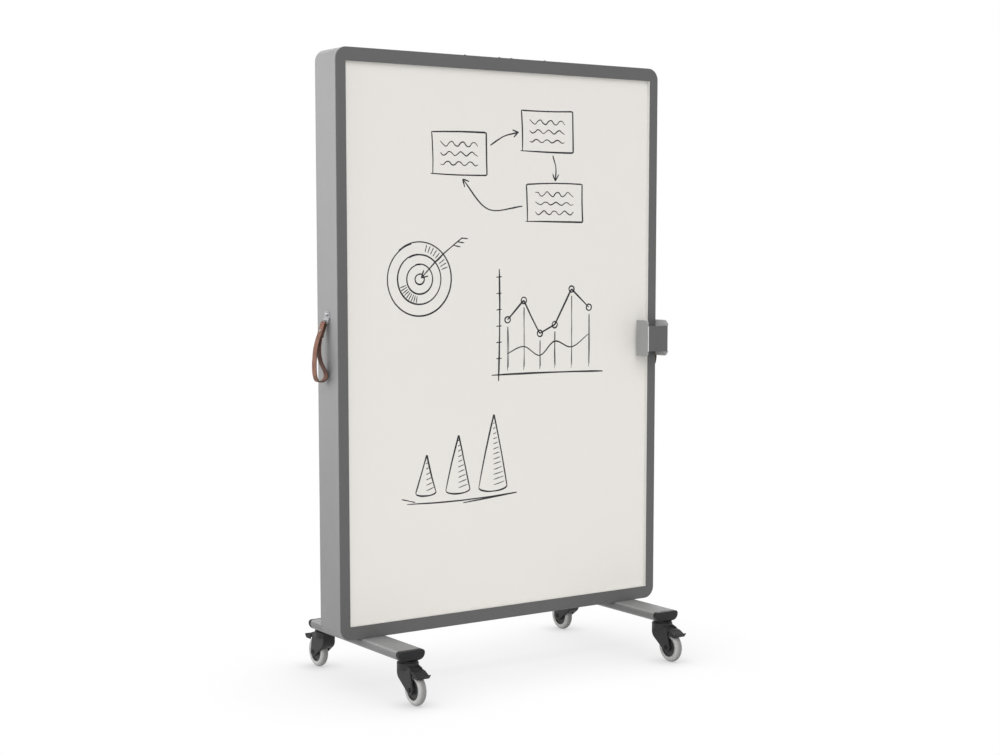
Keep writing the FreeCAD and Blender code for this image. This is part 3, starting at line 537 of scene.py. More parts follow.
@dataclass(frozen=True)
class MouldedPlastic(Finish):
    """Moulded plastic with a spark-eroded grain that shines where it is rubbed."""

    roughness: float = 0.45
    wander: Pair = (0.07, 0.1)
    specular: float = 0.28
    rub_scale: float = 26.0
    rub_low: float = 0.85
    rub_high: Pair = (1.2, 0.004)
    grain_scale: float = 700.0
    relief: Pair = (0.35, 0.0002)

    def lay(self, sheet: NodeSheet) -> None:
        """Lays out the plastic's nodes, from rub_low times its colour to rub_high's factor and lift.

        Args:
            sheet: where they go.
        """
        vector = sheet.place()
        rub = sheet.noise(vector, self.rub_scale, detail=4.0)
        pebbles = sheet.noise(vector, self.grain_scale, detail=2.0, rough=0.7)
        low, high = scaled(self.colour, self.rub_low), scaled(self.colour, *self.rub_high)
        sheet.wire(sheet.two_tone(rub, low, high), "Base Color")
        sheet.gloss(rub, self.roughness, self.wander)
        sheet.set(Specular_IOR_Level=self.specular)
        sheet.bump(pebbles, *self.relief)


@dataclass(frozen=True)
class TyreRubber(Finish):
    """Pale non-marking rubber, darker on the tread than on the moulded sides, with streaks of dust and
    scuffs.
    """

    tread: Colour
    roughness: float = 0.6
    wander: Pair = (0.1, 0.12)
    specular: float = 0.4
    shoulder: Pair = (0.3, 0.85)
    dust_scale: float = 60.0
    streak: Point = (30.0, 1.0, 1.0)
    streak_scale: float = 20.0
    scuff: float = 0.3
    grain_scale: float = 500.0
    relief: Pair = (0.1, 0.0002)

    def lay(self, sheet: NodeSheet) -> None:
        """Lays out the rubber's nodes, from the tread's tone to the sides' over the shoulder's X shares.

        Args:
            sheet: where they go.
        """
        vector = sheet.place()
        dust = sheet.noise(vector, self.dust_scale, detail=4.0, rough=0.65)
        marks = sheet.noise(sheet.place(self.streak), self.streak_scale)
        base = sheet.ramp(sheet.lean("X"), zip(self.shoulder, (self.tread, self.colour)))
        both = sheet.math("MULTIPLY", sheet.spread(marks, 0.0, 1.0), sheet.spread(dust, 0.0, 1.0))
        sheet.wire(sheet.blend(base, sheet.math("MULTIPLY", both, self.scuff), self.tread), "Base Color")
        sheet.gloss(dust, self.roughness, self.wander)
        sheet.set(Specular_IOR_Level=self.specular)
        sheet.bump(sheet.noise(vector, self.grain_scale, detail=2.0), *self.relief)


@dataclass(frozen=True)
class BridleLeather(Finish):
    """Oiled leather: pebbled grain, creases with painted shade, clouds, and dark cut edges.

    The mesh's edge attribute darkens the cut edges.
    """

    dark: Colour
    edge: Colour
    roughness: Pair = (0.66, 0.5)
    specular: float = 0.28
    sheen: Pair = (0.03, 0.5)
    cloud_scale: float = 55.0
    cloud_stops: Point = (0.3, 0.52, 0.75)
    light: float = 1.25
    pore_scale: float = 1300.0
    pore_relief: Pair = (0.35, 0.00025)
    crease: Point = (1.0, 0.35, 1.0)
    crease_scale: float = 420.0
    crease_shade_share: float = 0.28
    crease_relief: Pair = (0.3, 0.0003)

    def lay(self, sheet: NodeSheet) -> None:
        """Lays out the leather's nodes. Its sheen is a weight and a roughness.

        Args:
            sheet: where they go.
        """
        vector = sheet.place()
        clouds = sheet.noise(vector, self.cloud_scale, detail=5.0, rough=0.6)
        pores = sheet.cells(vector, self.pore_scale)
        creases = sheet.noise(sheet.place(self.crease), self.crease_scale, detail=4.0, rough=0.7)
        tones = (self.dark, self.colour, scaled(self.colour, self.light))
        base = sheet.ramp(clouds, zip(self.cloud_stops, tones))
        # Painted shade: the colour darkens in the hollows of the creases.
        crease_shade = sheet.math("MULTIPLY", sheet.spread(creases, 1.0, 0.0), self.crease_shade_share)
        grained = sheet.blend(base, crease_shade, self.dark)
        sheet.wire(sheet.blend(grained, sheet.attribute("cut_edge"), self.edge), "Base Color")
        sheet.wire(sheet.spread(clouds, *self.roughness), "Roughness")
        sheet.set(Specular_IOR_Level=self.specular, Sheen_Weight=self.sheen[0], Sheen_Roughness=self.sheen[1])
        sheet.bump(pores, *self.pore_relief)
        sheet.bump(creases, *self.crease_relief)


@dataclass(frozen=True)
class MarkerInk(Finish):
    """Dry marker ink, which thins where the tip moved fast."""

    thin: Colour
    roughness: Pair = (0.35, 0.55)
    specular: float = 0.3
    streak_scale: float = 240.0
    streak_stops: Pair = (0.42, 0.72)

    def lay(self, sheet: NodeSheet) -> None:
        """Lays out the ink's nodes.

        Args:
            sheet: where they go.
        """
        streaks = sheet.noise(sheet.place(), self.streak_scale, detail=4.0, rough=0.7)
        sheet.wire(sheet.ramp(streaks, zip(self.streak_stops, (self.colour, self.thin))), "Base Color")
        sheet.wire(sheet.spread(streaks, *self.roughness), "Roughness")
        sheet.set(Specular_IOR_Level=self.specular)


@dataclass(frozen=True)
class PressedFibre(Finish):
    """Medium fibreboard: short flecks in a brown ground."""

    roughness: Pair = (0.75, 0.9)
    fleck: Point = (1.0, 1.0, 0.25)
    fleck_scale: float = 500.0
    fleck_tone: float = 0.7
    relief: Pair = (0.4, 0.0003)

    def lay(self, sheet: NodeSheet) -> None:
        """Lays out the board's nodes.

        Args:
            sheet: where they go.
        """
        fibres = sheet.noise(sheet.place(self.fleck), self.fleck_scale, detail=5.0, rough=0.75)
        sheet.wire(sheet.two_tone(fibres, scaled(self.colour, self.fleck_tone), self.colour), "Base Color")
        sheet.wire(sheet.spread(fibres, *self.roughness), "Roughness")
        sheet.bump(fibres, *self.relief)


@dataclass(frozen=True)
class Palette:
    """Every finish of the wall."""

    # The band's lighter grey and the bezel's darker one are two-tone paint that is partly painted light on
    # the sides and painted shade on the front. The bezel's light tone on its rims and returns is partly
    # two-tone paint and partly a painted highlight.
    case_paint: PowderCoat = PowderCoat("case_paint", linear(117, 117, 117))
    bezel_paint: EdgedPaint = EdgedPaint(
        "bezel_paint", linear(89, 89, 89), roughness=0.5, bends=linear(214, 213, 210),
        edges=linear(214, 213, 210), half_span=(0.6, 0.879))
    # The holder's dark front and lighter cheeks are two-tone paint that is partly painted light on the
    # cheeks. Its bends tone is a painted highlight, and its lightest tone is painted light on the far cheek's
    # inner side.
    holder_paint: PocketPaint = PocketPaint(
        "holder_paint", linear(86, 86, 86), roughness=0.48, bends=linear(212, 213, 213),
        edges=linear(146, 147, 147), inside=linear(182, 183, 183))
    # The feet's paint has painted shade on the flats and sides and a painted highlight on the rounded edges.
    foot_paint: BeamPaint = BeamPaint("foot_paint", linear(141, 141, 141), roughness=0.55)
    enamel: WritingEnamel = WritingEnamel("writing_enamel", linear(224, 221, 216))
    fibre: PressedFibre = PressedFibre("backing_fibreboard", linear(150, 118, 84))
    galvanised: SatinMetal = SatinMetal("galvanised_tube", linear(170, 172, 175), 0.45)
    zinc: SatinMetal = SatinMetal("zinc_plate", linear(186, 188, 192), 0.32, grain=(20.0, 20.0, 20.0))
    black_zinc: SatinMetal = SatinMetal("black_zinc", linear(44, 44, 46), 0.42, grain=(20.0, 20.0, 20.0))
    nickel: SatinMetal = SatinMetal(
        "bright_nickel", linear(188, 188, 191), 0.34, grain=(12.0, 30.0, 12.0), relief=(0.05, 0.0002))
    plastic: MouldedPlastic = MouldedPlastic("caster_plastic", linear(34, 34, 35))
    # The pedal is the caster's plastic painted darker, as painted shade.
    pedal_plastic: MouldedPlastic = MouldedPlastic("pedal_plastic", linear(25, 25, 26), roughness=0.5)
    # The hub is the caster's plastic painted lighter, as painted light in its shaded dish.
    hub_plastic: MouldedPlastic = MouldedPlastic("hub_plastic", linear(50, 50, 51))
    cap_plastic: MouldedPlastic = MouldedPlastic("cap_plastic", linear(26, 26, 27), roughness=0.48)
    rubber: TyreRubber = TyreRubber("tyre_rubber", linear(168, 168, 167), linear(130, 129, 128))
    leather: BridleLeather = BridleLeather(
        "brown_leather", linear(107, 74, 60), linear(77, 51, 40), linear(50, 32, 25))
    ink: MarkerInk = MarkerInk("marker_ink", linear(24, 24, 28), linear(64, 64, 70))


# Meshes

# Small numbers that keep repeated points from dividing by zero.
TINY, KNOT_GAP = 1e-12, 1e-9

# A spline is first laid out so many times as finely, and with so many points at least.
FINER, FINE_POINTS = 6, 60


def grid_faces(rows: int, columns: int) -> np.ndarray:
    """Quads between neighbouring points of a grid whose last column joins the first.

    Args:
        rows: points along the first parameter.
        columns: points along the second one.

    Returns:
        Four point numbers per quad: (r, c), (r, c + 1), (r + 1, c + 1), (r + 1, c).
    """
    rr, cc = np.meshgrid(np.arange(rows - 1), np.arange(columns), indexing="ij")
    up, on = rr + 1, (cc + 1) % columns
    quads = [rr * columns + cc, rr * columns + on, up * columns + on, up * columns + cc]
    return np.stack(quads, -1).reshape(-1, 4)


def new_mesh(name: str, points: np.ndarray, faces: list[list[int]]) -> bpy.types.Object:
    """Makes a smooth-shaded object at the origin.

    Args:
        name: the object's name.
        points: its vertices in metres.
        faces: vertex numbers of each face.

    Returns:
        The linked object.
    """
    mesh = bpy.data.meshes.new(name)
    mesh.from_pydata(points.tolist(), [], faces)
    mesh.update()
    obj = bpy.data.objects.new(name, mesh)
    bpy.context.scene.collection.objects.link(obj)
    mesh.polygons.foreach_set("use_smooth", np.ones(len(mesh.polygons), bool))
    return obj


def dress(obj: bpy.types.Object, material: bpy.types.Material) -> None:
    """Gives every slot of an object one material.

    Args:
        obj: the object.
        material: its new material.
    """
    if not obj.material_slots:
        obj.data.materials.append(material)
    for slot in obj.material_slots:
        slot.material = material


def face_outwards(obj: bpy.types.Object) -> None:
    """Turns a closed mesh's faces outwards.

    Args:
        obj: the object of the mesh.
    """
    work = bmesh.new()
    work.from_mesh(obj.data)
    bmesh.ops.recalc_face_normals(work, faces=work.faces)
    work.to_mesh(obj.data)
    work.free()


def arc_length(points: np.ndarray) -> np.ndarray:
    """Distance of each point from the first, along the line through them."""
    return np.concatenate([[0], np.cumsum(np.linalg.norm(np.diff(points, axis=0), axis=1))])


def evenly(points: np.ndarray, count: int) -> np.ndarray:
    """Points at even distances along a line.

    Args:
        points: the line's own points, one row each.
        count: how many to return.

    Returns:
        Each coordinate read off by its distance along the line.
    """
    run = arc_length(points)
    even = np.linspace(0, run[-1], count)
    return np.stack([np.interp(even, run, points[:, k]) for k in range(points.shape[1])], 1)


def unit_run(line: np.ndarray, guard: float = 0.0) -> np.ndarray:
    """Direction of a line at each of its points.

    Args:
        line: its points, one row each.
        guard: what is added to each length before it divides.

    Returns:
        A vector of length one per point.
    """
    run = np.gradient(line, axis=0)
    return run / (np.linalg.norm(run, axis=1)[:, None] + guard)


def square_to(run: np.ndarray) -> np.ndarray:
    """Directions turned left by a quarter."""
    return np.stack([-run[:, 1], run[:, 0]], 1)


def spline_through(points: np.ndarray, count: int) -> np.ndarray:
    """Smooth open line through points.

    Args:
        points: the points it passes, one row each.
        count: how many points to return.

    Returns:
        Points of a centripetal Catmull-Rom curve, evenly spaced along its length.
    """
    p = np.vstack([2 * points[0] - points[1], points, 2 * points[-1] - points[-2]])
    knots = np.concatenate([[0], np.cumsum(np.linalg.norm(np.diff(p, axis=0), axis=1) ** 0.5 + KNOT_GAP)])
    t = np.linspace(knots[1], knots[-2], max(count * FINER, FINE_POINTS))
    i = np.clip(np.searchsorted(knots, t, side="right") - 1, 1, len(p) - 3)
    t0, t1, t2, t3 = (knots[i + k] for k in (-1, 0, 1, 2))
    p0, p1, p2, p3 = (p[i + k] for k in (-1, 0, 1, 2))

    def mix(a: np.ndarray, b: np.ndarray, ta: np.ndarray, tb: np.ndarray) -> np.ndarray:
        """Straight blend from a at ta to b at tb."""
        w = ((t - ta) / (tb - ta))[:, None]
        return a * (1 - w) + b * w

    a1, a2, a3 = mix(p0, p1, t0, t1), mix(p1, p2, t1, t2), mix(p2, p3, t2, t3)
    return evenly(mix(mix(a1, a2, t0, t2), mix(a2, a3, t1, t3), t1, t2), count)


# Leather pulls


@dataclass
class LeatherPull:
    """One leather pull: a strip that folds over its bar, is riveted, and hangs in a loop.

    Sizes are in metres. In the side view, the first number is the distance out from the case's side face, and
    the second is the height. grip is the bar's half thickness, reach and length scale the loop's outline, and
    tail is what hangs below the neck. The shares are places along the neck: outer_shares of the layers on its
    outside, inner_shares of the loop's end between them. flatness and roundness are the section's powers.
    ease thins the strip's first and last rows, the three thin numbers its end, and swell with its two waves
    lets the width wander.
    """

    side: Side
    face: float = 0.618
    bar: Pair = (0.012, 1.140)
    neck: Pair = (0.02377, 1.10706)
    thickness: float = 0.0036
    width: float = 0.026
    grip: float = 0.00175
    reach: float = 0.0485
    length: float = 0.180
    tail: float = 0.0098
    tail_lift: float = 0.0016
    loop: tuple[Pair, ...] = (
        (0.763, -0.294), (0.897, -0.428), (0.969, -0.578), (1.0, -0.733), (0.959, -0.883), (0.825, -0.975),
        (0.598, -1.0), (0.289, -0.978), (0.113, -0.917), (0.134, -0.839), (0.299, -0.75), (0.464, -0.661),
        (0.557, -0.567), (0.598, -0.478), (0.588, -0.389), (0.536, -0.3))
    outer_shares: tuple[float, ...] = (0.33, 0.66, 0.98)
    inner_shares: tuple[float, ...] = (0.0, 0.3, 0.55)
    fold_points: int = 9
    rows: int = 260
    columns: int = 36
    flatness: float = 14.0
    roundness: float = 3.0
    edge_from: float = 0.9
    edge_fade: float = 0.08
    burnish: float = 0.75
    ease: tuple[float, ...] = (0.55, 0.85, 0.97)
    thin_from: float = 0.955
    thin_run: float = 0.045
    thin_by: float = 0.5
    swell: float = 0.012
    swell_waves: Pair = (37.0, 11.0)

    def middle_line(self) -> np.ndarray:
        """Centre line of the strip in the side view.

        Returns:
            Points from the tail's end, up the wall side, round the bar, down and round the loop, and back
            between the neck's two layers. The loop is its outline moved in by half the thickness.
        """
        bar, neck = np.array(self.bar), np.array(self.neck)
        down = (neck - bar) / np.linalg.norm(neck - bar)
        out = np.array([-down[1], down[0]])
        half = self.thickness / 2
        wrap = self.grip + half
        outline = np.array([(x * self.reach, bar[1] + z * self.length) for x, z in self.loop])
        loop = outline - square_to(unit_run(outline)) * half
        length = np.linalg.norm(neck - bar)
        tip = bar + down * (length + self.tail) - out * (wrap + self.tail_lift)
        wall_side = [bar + down * length * share - out * wrap for share in self.outer_shares[::-1]]
        turn = np.linspace(math.pi, 0, self.fold_points)
        over = [bar + out * (wrap * math.cos(a)) - down * (wrap * math.sin(a)) for a in turn]
        outer = [bar + down * length * share + out * wrap for share in self.outer_shares]
        ends = [neck - down * length * share for share in self.inner_shares]
        return spline_through(np.array([tip, *wall_side, *over, *outer, *loop, *ends]), self.rows)

    def section(self) -> tuple[np.ndarray, np.ndarray]:
        """Outline of the strip's cross-section.

        Returns:
            Points as shares of half the width and half the thickness, from a superellipse
            |y| ** flatness + |t| ** roundness = 1 that leaves flat faces and round, burnished edges; and how
            far each point is into the cut edge, from 0 to 1.
        """
        a = np.linspace(0, 2 * math.pi, self.columns, endpoint=False)
        y = np.sign(np.cos(a)) * np.abs(np.cos(a)) ** (2 / self.flatness)
        t = np.sign(np.sin(a)) * np.abs(np.sin(a)) ** (2 / self.roundness)
        edge = np.clip((np.abs(y) - self.edge_from) / self.edge_fade, 0, 1)
        return np.stack([y, t], 1), edge

    def build_strip(self) -> bpy.types.Object:
        """Carries the section along the centre line.

        Returns:
            The strip as a closed mesh with its edge attribute.
        """
        line = self.middle_line()
        normal = square_to(unit_run(line))
        section, edge = self.section()
        s = np.linspace(0, 1, self.rows)
        thin = np.where(s > self.thin_from, 1 - (s - self.thin_from) / self.thin_run * self.thin_by, 1.0)
        thin[:len(self.ease)] *= self.ease
        thin[-len(self.ease):] *= self.ease[::-1]
        swell = 1 + self.swell * np.sin(s * self.swell_waves[0]) * np.sin(s * self.swell_waves[1])
        half_width = self.width / 2 * swell
        t = section[None, :, 1] * thin[:, None] * self.thickness / 2
        y = section[None, :, 0] * half_width[:, None]
        x = line[:, None, 0] + normal[:, None, 0] * t
        z = line[:, None, 1] + normal[:, None, 1] * t
        sign = self.side.value
        points = np.stack([sign * (self.face + x), y, z], -1).reshape(-1, 3)
        first = np.arange(self.columns)
        last = first + (self.rows - 1) * self.columns
        faces = [*grid_faces(self.rows, self.columns).tolist(), first[::-1].tolist(), last.tolist()]
        if sign > 0:
            faces = [face[::-1] for face in faces]
        obj = new_mesh(f"leather_strip_{self.side.name.lower()}", points, faces)
        attribute = obj.data.attributes.new("cut_edge", "FLOAT", "POINT")
        attribute.data.foreach_set("value", np.tile(edge * self.burnish, self.rows).astype(np.float32))
        return obj

    def build(self, palette: dict[str, bpy.types.Material]) -> None:
        """Builds and dresses the pull.

        Args:
            palette: the built materials by name.
        """
        name = self.side.name.lower()
        strip = self.build_strip()
        dress(strip, palette["leather"])
        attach(strip, f"strap_{name}")
        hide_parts(f"{name}_strap")
        log.info("leather pull on the %s: %d vertices", name, len(strip.data.vertices))


# Marker sketches


@dataclass
class MarkerStroke:
    """One stroke of a marker: points across the board and up, in metres, and the tip's width."""

    points: np.ndarray
    tip: float
    smooth: bool


@dataclass
class SketchSheet:
    """Hand-drawn marker sketches on one writing face.

    Sizes are in metres. surface is the face's distance from the wall's middle plane, ink a line's height,
    wobble how far it wanders, and weight widens every tip. bow is how far a straight run bends, as a share of
    it. Each box is a panel's middle, width and height, each link an arrow's start, end and bend. Each ring of
    the target is a radius and its drift, and each fan the first angle and the step of its dashes, in degrees,
    and where they start and end. Each cone is its place, radius and height, with a dash at every hatch. A
    stroke gets a point per spacing, at least the fewest and at most the most. Its width grows from press_from
    by press_gain over its ends, the faster the higher press_rate, and then wavers by a share.
    """

    face: Face
    surface: float = 0.0515
    ink: float = 0.00025
    seed: int = 7
    wobble: float = 0.0006
    bow: float = 0.018
    weight: float = 1.45
    boxes: tuple[tuple[float, ...], ...] = (
        (-0.17, 1.66, 0.20, 0.13), (0.17, 1.74, 0.20, 0.13), (0.20, 1.51, 0.22, 0.12))
    links: tuple[tuple[Pair, Pair, float], ...] = (
        ((-0.055, 1.69), (0.055, 1.735), 0.008),
        ((0.19, 1.665), (0.20, 1.583), 0.008),
        ((0.07, 1.50), (-0.16, 1.582), 0.055))
    graph_foot: Pair = (-0.02, 0.96)
    graph_size: Pair = (0.40, 0.34)
    graph_across: tuple[float, ...] = (0.08, 0.24, 0.40, 0.55, 0.72, 0.90)
    graph_high: tuple[float, ...] = (0.52, 0.70, 0.38, 0.46, 0.80, 0.62)
    graph_low: tuple[float, ...] = (0.20, 0.26, 0.17, 0.30, 0.24, 0.36)
    target_at: Pair = (-0.32, 1.27)
    rings: tuple[Pair, ...] = ((0.115, 0.03), (0.080, -0.03), (0.046, 0.05), (0.016, 0.1))
    fans: tuple[tuple[float, ...], ...] = ((200.0, 7.5, 0.052, 0.076), (20.0, 7.0, 0.086, 0.110))
    cone_sizes: tuple[Point, ...] = ((-0.30, 0.038, 0.12), (-0.18, 0.046, 0.175), (-0.045, 0.055, 0.235))
    cone_foot: float = 0.60
    hatch: float = 0.016
    spacing: float = 0.005
    fewest: int = 6
    most: int = 90
    section: tuple[Pair, ...] = ((-1.0, 0.05), (-0.6, 1.0), (0.6, 1.0), (1.0, 0.05))
    press_from: float = 0.55
    press_gain: float = 0.45
    press_rate: float = 9.0
    press_power: float = 0.6
    waver: float = 0.16
    waver_rate: float = 9.0
    waver_start: float = 6.0
    barb: float = 0.026
    barb_turns: Pair = (0.45, -0.5)
    strokes: list[MarkerStroke] = field(default_factory=list)

    def __post_init__(self) -> None:
        """Starts the hand's unsteadiness from a fixed seed."""
        self.hand = np.random.RandomState(self.seed)

    def line(self, *points: Pair, tip: float = 0.0032, smooth: bool = False) -> None:
        """Draws through points.

        Args:
            points: what it passes, across the board and up.
            tip: the marker's width.
            smooth: whether it curves. If not, each straight run gets a slight bow.
        """
        pts = np.array(points, float)
        if not smooth:
            parts = []
            for a, b in zip(pts[:-1], pts[1:]):
                t = np.linspace(0, 1, 5)[:, None]
                across = np.array([-(b - a)[1], (b - a)[0]])
                bow = np.sin(t * math.pi) * across * self.hand.uniform(-self.bow, self.bow)
                parts.append(a + (b - a) * t + bow)
            pts = np.vstack([parts[0], *[p[1:] for p in parts[1:]]])
        self.strokes.append(MarkerStroke(pts, tip, smooth))

    def round(self, centre: Pair, radii: Pair, start: float, sweep: float, drift: float, tip: float) -> None:
        """Draws an arc by hand, a point for every 12 degrees.

        Args:
            centre: the arc's middle.
            radii: half its width and half its height.
            start: the first angle in degrees.
            sweep: how far it turns, in degrees.
            drift: how much its radius grows over the sweep, as a share.
            tip: the marker's width.
        """
        a = np.radians(np.linspace(start, start + sweep, int(sweep / 12)))
        grow = 1 + drift * np.linspace(0, 1, len(a))
        x = centre[0] + radii[0] * np.cos(a) * grow
        z = centre[1] + radii[1] * np.sin(a) * grow
        self.strokes.append(MarkerStroke(np.stack([x, z], 1), tip, True))

    def arrow(self, start: Pair, end: Pair, bend: float) -> None:
        """Draws an arrow.

        Args:
            start: where it begins.
            end: where its head is.
            bend: how far it bows sideways.
        """
        a, b = np.array(start), np.array(end)
        across = np.array([-(b - a)[1], (b - a)[0]]) / np.linalg.norm(b - a)
        mid = (a + b) / 2 + across * bend
        self.line(a, mid, b, smooth=True)
        back = (mid - b) / np.linalg.norm(mid - b)
        for turn in self.barb_turns:
            c, s = math.cos(turn), math.sin(turn)
            tipward = np.array([back[0] * c - back[1] * s, back[0] * s + back[1] * c])
            self.line(b + tipward * self.barb, b)

    def panels(self) -> None:
        """Rounded panels with wavy lines, joined by arrows, high on the board."""
        gap = 0.03
        for x, z, w, h in self.boxes:
            left, right, low, high = x - w / 2, x + w / 2, z - h / 2, z + h / 2
            self.line((left, low), (left - 0.004, high), (right, high + 0.004), (right + 0.003, low),
                      (left - 0.008, low + 0.002), tip=0.0036)
            for k in range(3):
                t = np.linspace(-w * 0.36, w * 0.34, 14)
                wave = 0.007 * np.sin(t * 150 + k) * self.hand.uniform(0.7, 1.2)
                pts = np.stack([x + t, z + gap - gap * k + wave], 1)
                self.strokes.append(MarkerStroke(pts, 0.0026, True))
        for start, end, bend in self.links:
            self.arrow(start, end, bend)

    def graph(self) -> None:
        """A dotted line graph on crossed axes, with drop lines, a lower curve and ticks."""
        (x0, z0), (w, h) = self.graph_foot, self.graph_size
        self.line((x0, z0 + h), (x0 - 0.003, z0 - 0.02), tip=0.004)
        self.line((x0 - 0.03, z0), (x0 + w + 0.02, z0 - 0.004), tip=0.004)
        x, z = x0 + w * np.array(self.graph_across), z0 + h * np.array(self.graph_high)
        self.line(*zip(x, z), tip=0.0042)
        for a, b in zip(x, z):
            self.round((a, b), (0.010, 0.010), 40, 400, 0.1, tip=0.0034)
            for k in range(2):
                self.line((a + 0.002 * k, b - 0.022), (a + 0.003 * k, z0 + 0.012 + 0.01 * k), tip=0.0018)
        self.line(*zip(x, z0 + h * np.array(self.graph_low)), smooth=True, tip=0.003)
        for k in range(6):
            tick = z0 + h * (k + 1) / 6.5
            self.line((x0 - 0.012, tick), (x0 + 0.010, tick + 0.001), tip=0.0024)

    def target(self) -> None:
        """Rings with an arrow in the middle and two fans of dashes."""
        cx, cz = self.target_at
        for r, drift in self.rings:
            self.round((cx, cz), (r, r * 0.98), 70 + r * 300, 385, drift, tip=0.0034)
        for first, step, inner, outer in self.fans:
            for k in range(9):
                a = math.radians(first + step * k)
                u = np.array([math.cos(a), math.sin(a)])
                self.line(self.target_at + u * inner, self.target_at + u * outer, tip=0.0022)
        self.arrow((cx + 0.16, cz + 0.13), (cx + 0.006, cz + 0.004), bend=-0.006)
        for k in range(3):
            start = (cx + 0.125 + 0.014 * k, cz + 0.105 + 0.011 * k)
            end = (cx + 0.152 + 0.014 * k, cz + 0.100 + 0.013 * k)
            self.line(start, end, tip=0.0026)

    def cones(self) -> None:
        """Three hatched cones of rising size on a ground line."""
        base = self.cone_foot
        for x, r, h in self.cone_sizes:
            self.line((x - r, base), (x + 0.004, base + h), (x + r, base - 0.002), tip=0.0038)
            self.round((x, base), (r, r * 0.28), 180, 190, 0.0, tip=0.0036)
            for k in range(int(h / self.hatch)):
                share = 1 - (k + 0.8) * self.hatch / h
                z = base + (k + 0.8) * self.hatch
                if share > 0.08:
                    start = (x + r * share * 0.05, z - 0.008 * share)
                    self.line(start, (x + r * share * 0.86, z + 0.002), tip=0.002)
        self.line((-0.37, 0.568), (0.05, 0.574), (-0.16, 0.556), tip=0.003)
        self.line((-0.39, 0.585), (-0.34, 0.572), tip=0.0024)

    def ribbon(self, stroke: MarkerStroke) -> tuple[np.ndarray, np.ndarray]:
        """Turns a stroke into a thin closed ribbon on the board.

        Args:
            stroke: what to draw.

        Returns:
            Vertices and quads: a low four-sided section, as wide as the tip and pressed thinner at both ends,
            is carried along the stroke with a slow random wander.
        """
        count = int(np.clip(arc_length(stroke.points)[-1] / self.spacing, self.fewest, self.most))
        line = spline_through(stroke.points, count) if stroke.smooth else evenly(stroke.points, count)
        drift = np.cumsum(self.hand.normal(0, 1, (count, 2)), axis=0)
        drift -= np.linspace(0, 1, count)[:, None] * drift[-1]
        line = line + drift * self.wobble / count ** 0.5
        across = square_to(unit_run(line, TINY))
        s = np.linspace(0, 1, count)
        ends = np.clip(np.minimum(s, 1 - s) * self.press_rate, 0, 1) ** self.press_power
        waver = np.sin(s * self.waver_rate + self.hand.uniform(0, self.waver_start))
        half = self.weight * stroke.tip / 2 * (self.press_from + self.press_gain * ends)
        half = half * (1 + self.waver * waver)
        sign = self.face.value
        layers = []
        for u, lift in self.section:
            p = line + across * (half * u)[:, None]
            y = np.full(count, sign * self.surface + sign * self.ink * lift)
            layers.append(np.stack([p[:, 0] * -sign, y, p[:, 1]], 1))
        points = np.stack(layers, 1).reshape(-1, 3)
        return points, grid_faces(count, len(self.section))

    def build(self, palette: dict[str, bpy.types.Material]) -> None:
        """Builds and dresses the sketches as one piece.

        Args:
            palette: the built materials by name.
        """
        for draw in (self.panels, self.graph, self.target, self.cones):
            draw()
        points, faces, base = [], [], 0
        for stroke in self.strokes:
            p, f = self.ribbon(stroke)
            ends = [[base + 3, base + 2, base + 1, base], [base + len(p) - 4 + k for k in range(4)]]
            points.append(p)
            faces += (f + base).tolist() + ends
            base += len(p)
        obj = new_mesh(f"marker_sketches_{self.face.name.lower()}", np.vstack(points), faces)
        obj.data.polygons.foreach_set("use_smooth", np.zeros(len(obj.data.polygons), bool))
        face_outwards(obj)
        dress(obj, palette["ink"])
        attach(obj, "wall")
        log.info("sketches: %d strokes, %d faces", len(self.strokes), len(obj.data.polygons))


# Pieces carried over from the frame


@dataclass
class GroupFinish:
    """Finishes of one group of the frame's nodes: words that their names hold, each with its finish."""

    group: str
    words: tuple[tuple[str, str], ...]

    def build(self, nodes: dict[str, bpy.types.Object], palette: dict[str, bpy.types.Material]) -> None:
        """Dresses the nodes of the group.

        Args:
            nodes: the frame's objects by name.
            palette: the built materials by name.
        """
        for word, finish in self.words:
            for name in nodes:
                if word in name:
                    dress(nodes[name], palette[finish])
        log.info("%s dressed", self.group)


@dataclass
class CaseFinish(GroupFinish):
    """Finishes of the case: band, bezels and their screws, boards and inner frame."""

    group: str = "case"
    words: tuple[tuple[str, str], ...] = (
        ("outer_band", "case_paint"), ("bezel", "bezel_paint"), ("writing_sheet", "enamel"),
        ("backing_board", "fibre"), ("upright", "galvanised"), ("rail", "galvanised"))


@dataclass
class FootFinish(GroupFinish):
    """Finishes of the feet, their caps and fasteners."""

    group: str = "feet"
    words: tuple[tuple[str, str], ...] = (
        ("_foot", "foot_paint"), ("foot_", "zinc"), ("end_cap", "cap_plastic"))


@dataclass
class CasterFinish(GroupFinish):
    """Finishes of the four casters."""

    group: str = "casters"
    words: tuple[tuple[str, str], ...] = (
        ("fork", "plastic"), ("brake_pedal", "pedal_plastic"), ("wheel_hub", "hub_plastic"),
        ("tyre", "rubber"), ("axle", "black_zinc"), ("caster_stem", "black_zinc"),
        ("swivel_bearings", "zinc"))


@dataclass
class TrimFinish(GroupFinish):
    """Finishes of the accessory holder and the pulls' metal pieces."""

    group: str = "trim"
    words: tuple[tuple[str, str], ...] = (
        ("accessory_holder", "holder_paint"), ("holder_screws", "zinc"), ("handle", "nickel"),
        ("rivet", "nickel"))


# Studio


